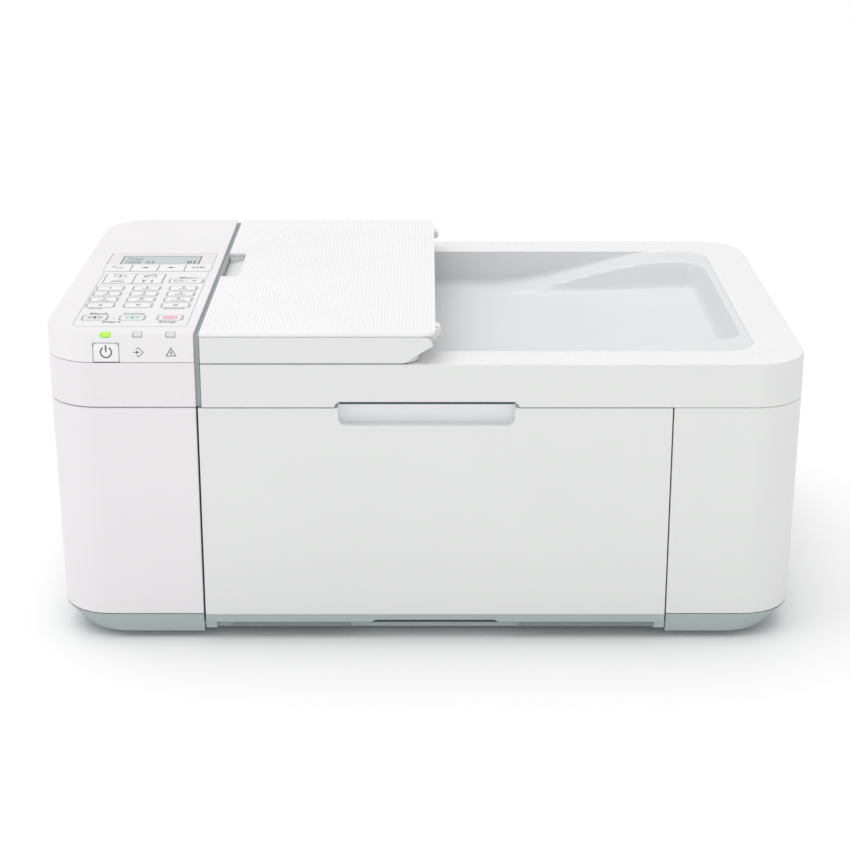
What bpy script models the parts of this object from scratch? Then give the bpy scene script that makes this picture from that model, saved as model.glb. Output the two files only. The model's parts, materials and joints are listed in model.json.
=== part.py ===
"""Desktop inkjet printer with a document feeder, a keypad panel, a flatbed scanner and a front paper bay.

Frame: the origin is under the middle of the case, +X to the right, +Y to the back and +Z up.
Sizes are in millimetres and are turned into metres where a mesh is made.
"""

import math

import bmesh
import bpy
from mathutils import Vector

MM = 0.001

# Driving sizes of the case.
WIDTH = 437.0
DEPTH = 297.0
HEIGHT = 188.0
CORNER_RADIUS = 31.0
WALL = 2.5
SIDE_DRAFT = 1.5
BELLY_HEIGHT = 4.3
BELLY_INSET = 12.0
BASE_HEIGHT = 15.9
FLOOR = 2.7
FOOT_RADIUS = 8.0

# Columns and decks.
PANEL_WIDTH = 87.0
PANEL_GAP = 3.1
RIGHT_COLUMN = 77.3
PANEL_HEIGHT = 16.8
LID_DROP = 18.0
LID_HEIGHT = 25.6
TRAY_PLATE = 1.8
REAR_LEDGE = 11.5

# Clearances.
GAP = 0.3
RUN = 0.5
PIN_CLEARANCE = 0.4

# Document feeder.
FEEDER_WIDTH = 133.4
FEEDER_RADIUS = 8.0
FEEDER_WALL = 2.4

# Lid recess that catches the fed sheets.
RECESS_FRONT = 26.5
RECESS_BACK = 31.5
RECESS_RIGHT = 27.1
RECESS_RADIUS = 18.0
RECESS_DEPTH = 21.0
SHELF_RUN = 125.0
BASIN_MARGIN = 27.0
BASIN_RIGHT = 4.0
BASIN_SLOPE = 9.0
BASIN_RISE = 5.0

# Front cover.
COVER_DEPTH = 10.5
COVER_SKIN = 3.2
COVER_EDGE = 2.2
COVER_BOTTOM = 10.8
COVER_PIVOT_HEIGHT = 9.0
COVER_PIVOT_SETBACK = 3.5
HANDLE_WIDTH = 101.3
HANDLE_DROP = 11.2
HANDLE_LIFT = 3.3
PIN_RADIUS = 1.2

# Keys.
KEY_RISE = 0.35
KEY_CHAMFER = 0.2
KEY_CORNER = 2.2
KEY_FLANGE = 0.9
KEY_SKIN = 2.4
NUMBER_KEY = (15.8, 9.0)
NUMBER_PITCH = (22.2, 13.0)
START_KEY = (13.8, 9.4)

# Scanner.
SCANNER_HEIGHT = 26.0
GLASS_THICKNESS = 2.6
GLASS_DEPTH = 220.0
SENSOR_WIDTH = 20.0

# Paper path.
CARRIAGE_HEIGHT = 35.4
TRAY_DROP = 18.0
TRAY_THICKNESS = 4.0
GUIDE_HEIGHT = 20.0
ROLLER_RADIUS = 6.0
AXLE_RADIUS = 3.0
CARRIAGE_WIDTH = 74.0

X_LEFT = -WIDTH / 2
X_RIGHT = WIDTH / 2
Y_FRONT = -DEPTH / 2
Y_BACK = DEPTH / 2
X_PANEL = X_LEFT + PANEL_WIDTH
X_LID = X_PANEL + PANEL_GAP
X_COLUMN = X_RIGHT - RIGHT_COLUMN
X_FEEDER = X_LID + FEEDER_WIDTH
Z_RIM = HEIGHT - LID_DROP
Z_SEAM = Z_RIM - LID_HEIGHT
Z_PANEL = HEIGHT - PANEL_HEIGHT
Z_PLATE = HEIGHT - TRAY_PLATE
Z_INSIDE = BELLY_HEIGHT + FLOOR
Y_DECK = Y_BACK - REAR_LEDGE
X_BAY = (X_PANEL + X_COLUMN) / 2
BAY_WIDTH = X_COLUMN - X_PANEL
COLUMN_STEPS = 8
FAR = 40.0


def clear_scene():
    for old in list(bpy.data.objects):
        bpy.data.objects.remove(old, do_unlink=True)
    for old in list(bpy.data.collections):
        bpy.data.collections.remove(old)


def material(name, color, roughness, metallic=0.0, alpha=1.0):
    made = bpy.data.materials.new(name)
    made.use_nodes = True
    shader = made.node_tree.nodes["Principled BSDF"]
    shader.inputs["Base Color"].default_value = (*color, 1.0)
    shader.inputs["Roughness"].default_value = roughness
    shader.inputs["Metallic"].default_value = metallic
    shader.inputs["Alpha"].default_value = alpha
    return made


clear_scene()
PARTS = bpy.data.collections.new("inkjet_printer")
CUTTERS = bpy.data.collections.new("cutters")
bpy.context.scene.collection.children.link(PARTS)
bpy.context.scene.collection.children.link(CUTTERS)

WHITE = material("white_shell", (0.80, 0.80, 0.79), 0.45)
LID_WHITE = material("lid_white", (0.84, 0.84, 0.83), 0.5)
GREY = material("grey_base", (0.42, 0.46, 0.47), 0.5)
DARK = material("dark_plastic", (0.07, 0.075, 0.08), 0.55)
BLACK = material("black_plastic", (0.02, 0.02, 0.022), 0.5)
KEY_WHITE = material("key_white", (0.86, 0.86, 0.85), 0.4)
SCREEN = material("screen", (0.55, 0.58, 0.60), 0.15)
GLASS = material("glass", (0.75, 0.85, 0.85), 0.03, 0.0, 0.35)
LIGHT = material("light_guide", (0.85, 0.87, 0.85), 0.3)
STEEL = material("steel", (0.62, 0.63, 0.64), 0.35, 1.0)
RUBBER = material("rubber", (0.03, 0.03, 0.03), 0.85)
FOAM = material("foam", (0.88, 0.88, 0.87), 0.9)
BOARD = material("circuit_board", (0.04, 0.22, 0.12), 0.5)


def rounded_outline(x0, x1, y0, y1, radii, steps):
    """Corner arcs, counter-clockwise from the front left: front left, front right, back right, back left."""
    centres = ((x0, y0, 1, 1), (x1, y0, -1, 1), (x1, y1, -1, -1), (x0, y1, 1, -1))
    outline = []
    for number, (corner, radius) in enumerate(zip(centres, radii)):
        x, y, inward_x, inward_y = corner
        if radius <= 0:
            outline.append((x, y))
            continue
        start = math.pi + number * math.pi / 2
        for step in range(steps + 1):
            angle = start + step * math.pi / 2 / steps
            across = x + inward_x * radius + radius * math.cos(angle)
            along = y + inward_y * radius + radius * math.sin(angle)
            outline.append((across, along))
    return outline


def add_object(name, mesh, surface, origin, collection):
    made = bpy.data.objects.new(name, mesh)
    made.location = Vector(origin) * MM
    collection.objects.link(made)
    if surface:
        mesh.materials.append(surface)
    if collection == CUTTERS:
        made.hide_render = True
        made.display_type = "WIRE"
    return made


def loft(name, rings, surface=None, origin=(0, 0, 0)):
    """A closed solid through matching rings of points, bottom ring first."""
    shape = bmesh.new()
    base = Vector(origin)
    loops = [[shape.verts.new((Vector(point) - base) * MM) for point in ring] for ring in rings]
    count = len(loops[0])
    for lower, upper in zip(loops, loops[1:]):
        for i in range(count):
            j = (i + 1) % count
            shape.faces.new((lower[i], lower[j], upper[j], upper[i]))
    shape.faces.new(list(reversed(loops[0])))
    shape.faces.new(loops[-1])
    bmesh.ops.recalc_face_normals(shape, faces=shape.faces)
    mesh = bpy.data.meshes.new(name)
    shape.to_mesh(mesh)
    shape.free()
    return add_object(name, mesh, surface, origin, PARTS if surface else CUTTERS)


def block(name, x, y, z, surface=None, origin=None, bevel=0.0):
    """A box between the two values given on each axis."""
    centre = Vector(((x[0] + x[1]) / 2, (y[0] + y[1]) / 2, (z[0] + z[1]) / 2))
    start = Vector(origin) if origin else centre
    shape = bmesh.new()
    bmesh.ops.create_cube(shape, size=1.0)
    bmesh.ops.scale(shape, vec=Vector((x[1] - x[0], y[1] - y[0], z[1] - z[0])) * MM, verts=shape.verts)
    bmesh.ops.translate(shape, vec=(centre - start) * MM, verts=shape.verts)
    mesh = bpy.data.meshes.new(name)
    shape.to_mesh(mesh)
    shape.free()
    made = add_object(name, mesh, surface, start, PARTS if surface else CUTTERS)
    if bevel:
        edge = made.modifiers.new("edges", "BEVEL")
        edge.width = bevel * MM
        edge.segments = 2
    return made


def bar(name, start, end, radius, surface=None, origin=None, sides=24):
    """A round bar from one point to another."""
    first = Vector(start)
    axis = Vector(end) - first
    base = Vector(origin) if origin else first
    shape = bmesh.new()
    bmesh.ops.create_cone(
        shape,
        cap_ends=True,
        segments=sides,
        radius1=radius * MM,
        radius2=radius * MM,
        depth=axis.length * MM,
    )
    turn = Vector((0, 0, 1)).rotation_difference(axis.normalized()).to_matrix().to_4x4()
    bmesh.ops.transform(shape, matrix=turn, verts=shape.verts)
    bmesh.ops.translate(shape, vec=(first + axis / 2 - base) * MM, verts=shape.verts)
    mesh = bpy.data.meshes.new(name)
    shape.to_mesh(mesh)
    shape.free()
    if surface:
        mesh.shade_smooth()
        mesh.set_sharp_from_angle(angle=math.radians(40))
    return add_object(name, mesh, surface, base, PARTS if surface else CUTTERS)


def prism(name, x, y, z, radii, surface=None, draft=(0, 0, 0, 0), origin=(0, 0, 0), steps=COLUMN_STEPS):
    """A rounded upright block; draft draws its lower ring in by left, right, front and back."""
    low = rounded_outline(x[0] + draft[0], x[1] - draft[1], y[0] + draft[2], y[1] - draft[3], radii, steps)
    high = rounded_outline(x[0], x[1], y[0], y[1], radii, steps)
    rings = [[(px, py, z[0]) for px, py in low], [(px, py, z[1]) for px, py in high]]
    return loft(name, rings, surface, origin)


def combine(target, tool, operation):
    step = target.modifiers.new(operation.lower(), "BOOLEAN")
    step.operation = operation
    step.object = tool


def cut(target, *tools):
    for tool in tools:
        combine(target, tool, "DIFFERENCE")


def join(target, *tools):
    for tool in tools:
        combine(target, tool, "UNION")


def column_shell(name, x, z, radii, draft, surface):
    """A thin wall all round a column of the case, open at its top and bottom."""
    shell = prism(name, x, (Y_FRONT, Y_BACK), z, radii, surface, draft)
    inner_radii = [max(radius - WALL, 0) for radius in radii]
    inside = prism(
        name + "_inside",
        (x[0] + WALL, x[1] - WALL),
        (Y_FRONT + WALL, Y_BACK - WALL),
        (z[0] - 0.01, z[1] + 0.01),
        inner_radii,
        None,
        draft,
    )
    cut(shell, inside)
    return shell


LEFT_RADII = (CORNER_RADIUS, 0, 0, CORNER_RADIUS)
RIGHT_RADII = (0, CORNER_RADIUS, CORNER_RADIUS, 0)
ALL_RADII = (CORNER_RADIUS,) * 4
REAR_PANEL_EDGE = CORNER_RADIUS + 4.0
RETURN_DEPTH = 45.0


def base_tray():
    outer = rounded_outline(
        X_LEFT + SIDE_DRAFT,
        X_RIGHT - SIDE_DRAFT,
        Y_FRONT,
        Y_BACK,
        ALL_RADII,
        COLUMN_STEPS,
    )
    lower = rounded_outline(
        X_LEFT + BELLY_INSET, X_RIGHT - BELLY_INSET, Y_FRONT + 2, Y_BACK - 2, ALL_RADII, COLUMN_STEPS
    )
    rings = [[(x, y, BELLY_HEIGHT) for x, y in lower], [(x, y, BASE_HEIGHT) for x, y in outer]]
    tray = loft("base_tray", rings, GREY)
    side = BELLY_INSET + WALL
    back = Y_BACK - WALL - 2
    pocket_left = prism(
        "base_left_pocket",
        (X_LEFT + side, X_PANEL - WALL),
        (Y_FRONT + WALL + 2, back),
        (Z_INSIDE, BASE_HEIGHT + FAR),
        LEFT_RADII,
    )
    pocket_right = prism(
        "base_right_pocket",
        (X_COLUMN + WALL, X_RIGHT - side),
        (Y_FRONT + WALL + 2, back),
        (Z_INSIDE, BASE_HEIGHT + FAR),
        RIGHT_RADII,
    )
    pocket_back = block(
        "base_back_pocket",
        (X_LEFT + side + CORNER_RADIUS, X_RIGHT - side - CORNER_RADIUS),
        (Y_FRONT + RETURN_DEPTH, back),
        (Z_INSIDE, BASE_HEIGHT + FAR),
    )
    bay = block("base_bay", (X_PANEL, X_COLUMN), (Y_FRONT - FAR, back), (Z_INSIDE, BASE_HEIGHT + FAR))
    mouth = block(
        "base_mouth",
        (X_PANEL, X_COLUMN),
        (Y_FRONT - FAR, Y_FRONT + 8.5),
        (-FAR, BASE_HEIGHT + FAR),
    )
    cut(tray, pocket_left, pocket_right, pocket_back, bay, mouth)
    pivot_y = Y_FRONT + COVER_PIVOT_SETBACK
    bore = bar(
        "base_pin_bore",
        (X_PANEL - 2 * WALL, pivot_y, COVER_PIVOT_HEIGHT),
        (X_COLUMN + 2 * WALL, pivot_y, COVER_PIVOT_HEIGHT),
        PIN_RADIUS + PIN_CLEARANCE,
        sides=16,
    )
    cut(tray, bore)
    for side_x in (-1, 1):
        for side_y in (-1, 1):
            at = (side_x * (X_RIGHT - 48), side_y * (Y_BACK - 30))
            foot = bar("base_foot", (*at, 0), (*at, Z_INSIDE - 1), FOOT_RADIUS)
            join(tray, foot)
    return tray


def side_covers():
    z = (BASE_HEIGHT + GAP, Z_SEAM - GAP)
    left = column_shell("left_side_cover", (X_LEFT, X_PANEL), z, LEFT_RADII, (SIDE_DRAFT, 0, 0, 0), WHITE)
    right = column_shell(
        "right_side_cover",
        (X_COLUMN, X_RIGHT),
        z,
        RIGHT_RADII,
        (0, SIDE_DRAFT, 0, 0),
        WHITE,
    )
    tall = (-FAR, HEIGHT + FAR)
    back = (Y_BACK - WALL - 1, Y_BACK + FAR)
    left_back = block("left_back_cut", (X_LEFT + REAR_PANEL_EDGE, X_PANEL + FAR), back, tall)
    right_back = block("right_back_cut", (X_COLUMN - FAR, X_RIGHT - REAR_PANEL_EDGE), back, tall)
    behind = (Y_FRONT + RETURN_DEPTH, Y_BACK + FAR)
    left_return = block("left_return_cut", (X_PANEL - WALL - 1, X_PANEL + FAR), behind, tall)
    right_return = block("right_return_cut", (X_COLUMN - FAR, X_COLUMN + WALL + 1), behind, tall)
    cut(left, left_back, left_return)
    scanner_room = block(
        "right_scanner_cut",
        (X_COLUMN - FAR, X_COLUMN + WALL + 1),
        (Y_FRONT + COVER_DEPTH + 0.6, Y_BACK + FAR),
        (Z_SEAM - SCANNER_HEIGHT - GAP, HEIGHT + FAR),
    )
    cut(right, right_back, right_return, scanner_room)


SOCKET_SIZE = (24.0, 17.0)
SOCKET_INSET = 53.5
SOCKET_HEIGHT = 34.0
PORT_SIZE = (13.0, 12.0)
PORT_INSET = 53.5
PORT_HEIGHT = 38.0
PORT_PITCH = 20.0
JACK_SIZE = (12.0, 13.0)
X_SOCKET = X_RIGHT - SOCKET_INSET
TRANSPORT_WIDTH = 226.0
TRANSPORT_HEIGHT = 62.0
TRANSPORT_BOTTOM = 30.0


def rear_cover():
    z = (BASE_HEIGHT + GAP, Z_SEAM - GAP)
    x = (X_LEFT + REAR_PANEL_EDGE + GAP, X_RIGHT - REAR_PANEL_EDGE - GAP)
    cover = block("rear_cover", x, (Y_BACK - WALL, Y_BACK), z, WHITE)
    through = (Y_BACK - FAR, Y_BACK + FAR)
    socket = block(
        "socket_hole",
        (X_SOCKET - SOCKET_SIZE[0] / 2, X_SOCKET + SOCKET_SIZE[0] / 2),
        through,
        (SOCKET_HEIGHT - SOCKET_SIZE[1] / 2, SOCKET_HEIGHT + SOCKET_SIZE[1] / 2),
    )
    cut(cover, socket)
    port_x = X_LEFT + PORT_INSET
    for number, size in enumerate((PORT_SIZE, JACK_SIZE, JACK_SIZE)):
        low = PORT_HEIGHT + number * PORT_PITCH
        hole = block(
            "port_hole",
            (port_x - size[0] / 2, port_x + size[0] / 2),
            through,
            (low - size[1] / 2, low + size[1] / 2),
        )
        cut(cover, hole)
    window = block(
        "transport_hole",
        (-TRANSPORT_WIDTH / 2 - RUN, TRANSPORT_WIDTH / 2 + RUN),
        through,
        (TRANSPORT_BOTTOM - RUN, TRANSPORT_BOTTOM + TRANSPORT_HEIGHT + RUN),
    )
    cut(cover, window)


def transport_cover():
    """The rear door over the paper turn, hinged along its bottom edge."""
    pivot = (0, Y_BACK - 1.2, TRANSPORT_BOTTOM + 1.2)
    block(
        "transport_cover",
        (-TRANSPORT_WIDTH / 2, TRANSPORT_WIDTH / 2),
        (Y_BACK - 2.4, Y_BACK),
        (TRANSPORT_BOTTOM, TRANSPORT_BOTTOM + TRANSPORT_HEIGHT),
        WHITE,
        pivot,
        0.5,
    )


def left_upper_cover():
    """The band under the panel, with a closed ledge behind it."""
    z = (Z_SEAM + GAP, Z_PANEL - GAP)
    band = prism("left_upper_cover", (X_LEFT, X_PANEL), (Y_FRONT, Y_BACK), z, LEFT_RADII, WHITE)
    inner_radii = [max(radius - WALL, 0) for radius in LEFT_RADII]
    inner_x = (X_LEFT + WALL, X_PANEL - WALL)
    lower = prism(
        "band_lower",
        inner_x,
        (Y_FRONT + WALL, Y_BACK - WALL),
        (z[0] - 1, z[1] - WALL),
        inner_radii,
    )
    upper_radii = (inner_radii[0], 0, 0, inner_radii[3])
    upper = prism("band_upper", inner_x, (Y_FRONT + WALL, Y_DECK - WALL), (z[0] - 1, z[1] + 1), upper_radii)
    cut(band, lower, upper)


# Keypad layout: offsets from the panel's left edge and from the front face.
POWER_KEY = (14.6, 11.0)
POWER_X = CORNER_RADIUS + 6.5
LIGHTS_AT = (POWER_X + 0.1, POWER_X + 18.1, POWER_X + 36.7)
LIGHT_WIDTH = 5.6
SCREEN_X = (14.0, 82.5)
SCREEN_Y = (158.3, 187.3)
NAV_X = (14.5, 82.5)
NAV_Y = (141.0, 157.7)
MODE_X = (18.3, 55.8)
MODE_Y = (109.6, 134.1)
MENU_AT = (70.0, 116.5)
MENU_KEY = (20.0, 9.6)
NUMBER_AT = (25.7, 98.9)
START_AT = ((26.7, 33.0), (48.3, 33.0), (70.2, 33.0))


def keypad():
    """Every key on the panel's top: name, centre, size, corner radius and how far its flange stands out.

    The keys of the navigation strip and of the mode block share one hole each, so they have no flange.
    """
    keys = []
    nav_step = (NAV_X[1] - NAV_X[0]) / 4
    nav_y = (NAV_Y[0] + NAV_Y[1]) / 2
    for i, name in enumerate(("key_back", "key_left", "key_right", "key_ok")):
        centre = (NAV_X[0] + nav_step * (i + 0.5), nav_y)
        keys.append((name, centre, (nav_step, NAV_Y[1] - NAV_Y[0]), 0, -GAP))
    mode_step = ((MODE_X[1] - MODE_X[0]) / 2, (MODE_Y[1] - MODE_Y[0]) / 2)
    modes = (("key_copy", 0, 1), ("key_fax", 1, 1), ("key_scan", 0, 0), ("key_tools", 1, 0))
    for name, i, j in modes:
        centre = (MODE_X[0] + mode_step[0] * (i + 0.5), MODE_Y[0] + mode_step[1] * (j + 0.5))
        keys.append((name, centre, mode_step, 0, -GAP))
    keys.append(("key_menu", MENU_AT, MENU_KEY, KEY_CORNER, KEY_FLANGE))
    rows = (("1", "2", "3"), ("4", "5", "6"), ("7", "8", "9"), ("star", "0", "hash"))
    for row, labels in enumerate(rows):
        for column, label in enumerate(labels):
            centre = (NUMBER_AT[0] + NUMBER_PITCH[0] * column, NUMBER_AT[1] - NUMBER_PITCH[1] * row)
            keys.append(("key_" + label, centre, NUMBER_KEY, KEY_CORNER, KEY_FLANGE))
    for name, centre in zip(("key_start_black", "key_start_colour", "key_stop"), START_AT):
        keys.append((name, centre, START_KEY, KEY_CORNER, KEY_FLANGE))
    return keys


def key_ring(centre, size, grow, z, radius):
    half_x = size[0] / 2 + grow
    half_y = size[1] / 2 + grow
    radii = (max(radius + grow, 0),) * 4
    outline = rounded_outline(
        centre[0] - half_x, centre[0] + half_x, centre[1] - half_y, centre[1] + half_y, radii, 3
    )
    return [(x, y, z) for x, y in outline]


def make_key(name, centre, size, corner, flange):
    """A key cap, over a wider flange that keeps it under the panel's skin where it has one."""
    flange_top = HEIGHT - KEY_SKIN - GAP
    top = HEIGHT + KEY_RISE
    rings = [key_ring(centre, size, flange, flange_top - 1.4, corner)]
    if flange > 0:
        rings.append(key_ring(centre, size, flange, flange_top, corner))
        rings.append(key_ring(centre, size, -GAP, flange_top, corner))
    rings.append(key_ring(centre, size, -GAP, top - KEY_CHAMFER, corner))
    rings.append(key_ring(centre, size, -GAP - KEY_CHAMFER, top, corner))
    loft(name, rings, KEY_WHITE, (centre[0], centre[1], top))


def operation_panel():
    deck_radii = (CORNER_RADIUS, 1.0, 1.0, CORNER_RADIUS)
    panel = prism(
        "operation_panel",
        (X_LEFT, X_PANEL),
        (Y_FRONT, Y_DECK),
        (Z_PANEL, HEIGHT),
        deck_radii,
        WHITE,
    )
    inside = prism(
        "panel_inside",
        (X_LEFT + WALL, X_PANEL - WALL),
        (Y_FRONT + WALL, Y_DECK - WALL),
        (Z_PANEL - FAR, HEIGHT - KEY_SKIN),
        (CORNER_RADIUS - WALL, 0, 0, CORNER_RADIUS - WALL),
    )
    cut(panel, inside)
    for name, offset, size, corner, flange in keypad():
        centre = (X_LEFT + offset[0], Y_FRONT + offset[1])
        if flange > 0:
            sides = [key_ring(centre, size, 0, z, corner) for z in (HEIGHT - FAR / 4, HEIGHT + 2)]
            cut(panel, loft(name + "_hole", sides))
        make_key(name, centre, size, corner, flange)
    for name, x, y in (("navigation", NAV_X, NAV_Y), ("mode", MODE_X, MODE_Y)):
        opening = block(
            name + "_hole",
            (X_LEFT + x[0], X_LEFT + x[1]),
            (Y_FRONT + y[0], Y_FRONT + y[1]),
            (HEIGHT - FAR / 4, HEIGHT + 2),
        )
        cut(panel, opening)
    screen_x = (X_LEFT + SCREEN_X[0], X_LEFT + SCREEN_X[1])
    screen_y = (Y_FRONT + SCREEN_Y[0], Y_FRONT + SCREEN_Y[1])
    cut(panel, block("screen_hole", screen_x, screen_y, (HEIGHT - FAR / 4, HEIGHT + 2)))
    block(
        "display",
        (screen_x[0] + GAP, screen_x[1] - GAP),
        (screen_y[0] + GAP, screen_y[1] - GAP),
        (HEIGHT - 6.0, HEIGHT - 0.1),
        SCREEN,
    )
    power_key(panel)
    light_guide(panel)


def power_key(panel):
    x = X_LEFT + POWER_X
    half = POWER_KEY[0] / 2
    low = Z_PANEL + GAP
    high = low + POWER_KEY[1]
    hole = block(
        "power_hole",
        (x - half - GAP, x + half + GAP),
        (Y_FRONT - 2, Y_FRONT + 4),
        (low - GAP - 6, high + GAP),
    )
    cut(panel, hole)
    cap = block(
        "power_key",
        (x - half, x + half),
        (Y_FRONT, Y_FRONT + 5.0),
        (low, high),
        KEY_WHITE,
        None,
        0.4,
    )
    flange = block(
        "power_flange",
        (x - half - 1.2, x + half + 1.2),
        (Y_FRONT + WALL + GAP + 0.1, Y_FRONT + 4.4),
        (low + 0.6, high - 0.2),
    )
    join(cap, flange)


def light_guide(panel):
    """One clear moulding under the panel, with a window at each of the three lights."""
    back = Y_FRONT + WALL + 2.2
    low = HEIGHT - KEY_SKIN - 2.6
    first = X_LEFT + LIGHTS_AT[0] - LIGHT_WIDTH / 2
    last = X_LEFT + LIGHTS_AT[-1] + LIGHT_WIDTH / 2
    guide = block(
        "light_guide",
        (first, last),
        (Y_FRONT + WALL + GAP, back),
        (low, HEIGHT - KEY_SKIN - GAP),
        LIGHT,
    )
    for at in LIGHTS_AT:
        x = X_LEFT + at
        half = LIGHT_WIDTH / 2
        hole = block("light_hole", (x - half, x + half), (Y_FRONT - 1, back), (HEIGHT - 2.2, HEIGHT + 1))
        stem_hole = block("light_stem_hole", (x - half, x + half), (Y_FRONT + 1.4, back), (low, HEIGHT + 1))
        cut(panel, hole, stem_hole)
        window = block(
            "light_window",
            (x - half + GAP, x + half - GAP),
            (Y_FRONT + 0.1, back - GAP),
            (HEIGHT - 2.2 + GAP, HEIGHT - 0.1),
        )
        stem = block(
            "light_stem",
            (x - half + GAP, x + half - GAP),
            (Y_FRONT + 1.4 + GAP, back - GAP),
            (low + 0.4, HEIGHT - 1.0),
        )
        join(guide, window, stem)


HINGE_PIVOT = (5.5, 5.6)
HINGE_POST = 12.0


def hinge_places():
    """The lid hinges' X positions, and the pivot's Y and Z."""
    xs = (X_LID + 46.0, X_RIGHT - 62.0)
    return xs, Y_BACK - HINGE_PIVOT[0], Z_SEAM + HINGE_PIVOT[1]


def scanner_housing():
    z = (Z_SEAM - SCANNER_HEIGHT, Z_SEAM - GAP)
    side = WALL + SIDE_DRAFT + 0.6
    housing = prism(
        "scanner_housing",
        (X_PANEL + 0.4, X_RIGHT - side),
        (Y_FRONT + COVER_SKIN + RUN + 0.3, Y_BACK - WALL - 0.6),
        z,
        (0, CORNER_RADIUS - side, CORNER_RADIUS - side, 0),
        WHITE,
    )
    handle_notch = block(
        "handle_notch",
        (X_PANEL - FAR, X_COLUMN + WALL + 1.0),
        (Y_FRONT - FAR, Y_FRONT + COVER_DEPTH + 1.6),
        (-FAR, Z_SEAM + FAR),
    )
    inside = block(
        "scanner_inside",
        (X_LID + 4.0, X_RIGHT - side - 6.0),
        (Y_FRONT + 16.0, Y_BACK - 16.0),
        (z[0] + WALL, z[1] - GLASS_THICKNESS - 1.6),
    )
    glass_x = (X_LID + 16.0, X_RIGHT - 20.0)
    glass_y = (-GLASS_DEPTH / 2 - 2, GLASS_DEPTH / 2 - 2)
    seat = block(
        "glass_seat",
        (glass_x[0] - GAP, glass_x[1] + GAP),
        (glass_y[0] - GAP, glass_y[1] + GAP),
        (z[1] - GLASS_THICKNESS - GAP, z[1] + FAR),
    )
    window = block(
        "glass_window",
        (glass_x[0] + 4, glass_x[1] - 4),
        (glass_y[0] + 3, glass_y[1] - 3),
        (z[1] - GLASS_THICKNESS - 10, z[1] + FAR),
    )
    cut(housing, handle_notch, inside, seat, window)
    block("scanner_glass", glass_x, glass_y, (z[1] - GLASS_THICKNESS, z[1]), GLASS)
    sensor_x = glass_x[0] + 6.0
    block(
        "image_sensor",
        (sensor_x, sensor_x + SENSOR_WIDTH),
        (glass_y[0] + 6, glass_y[1] - 6),
        (z[0] + WALL + 4, z[1] - GLASS_THICKNESS - 3.0),
        DARK,
        None,
        0.8,
    )
    xs, pivot_y, pivot_z = hinge_places()
    for x in xs:
        post = block(
            "hinge_post",
            (x - HINGE_POST / 2, x + HINGE_POST / 2),
            (pivot_y - 3.2, pivot_y + 2.2),
            (Z_SEAM - 8, pivot_z + 3.2),
        )
        pin = bar(
            "hinge_pin",
            (x - HINGE_POST, pivot_y, pivot_z),
            (x + HINGE_POST, pivot_y, pivot_z),
            1.8,
            sides=16,
        )
        join(housing, post, pin)


def shelf_height(x, low, high, start):
    """The catch tray's floor runs flat and then climbs in an S to the rim."""
    share = min(max((x - start) / SHELF_RUN, 0.0), 1.0)
    return low + (high - low) * share * share * (3 - 2 * share)


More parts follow.
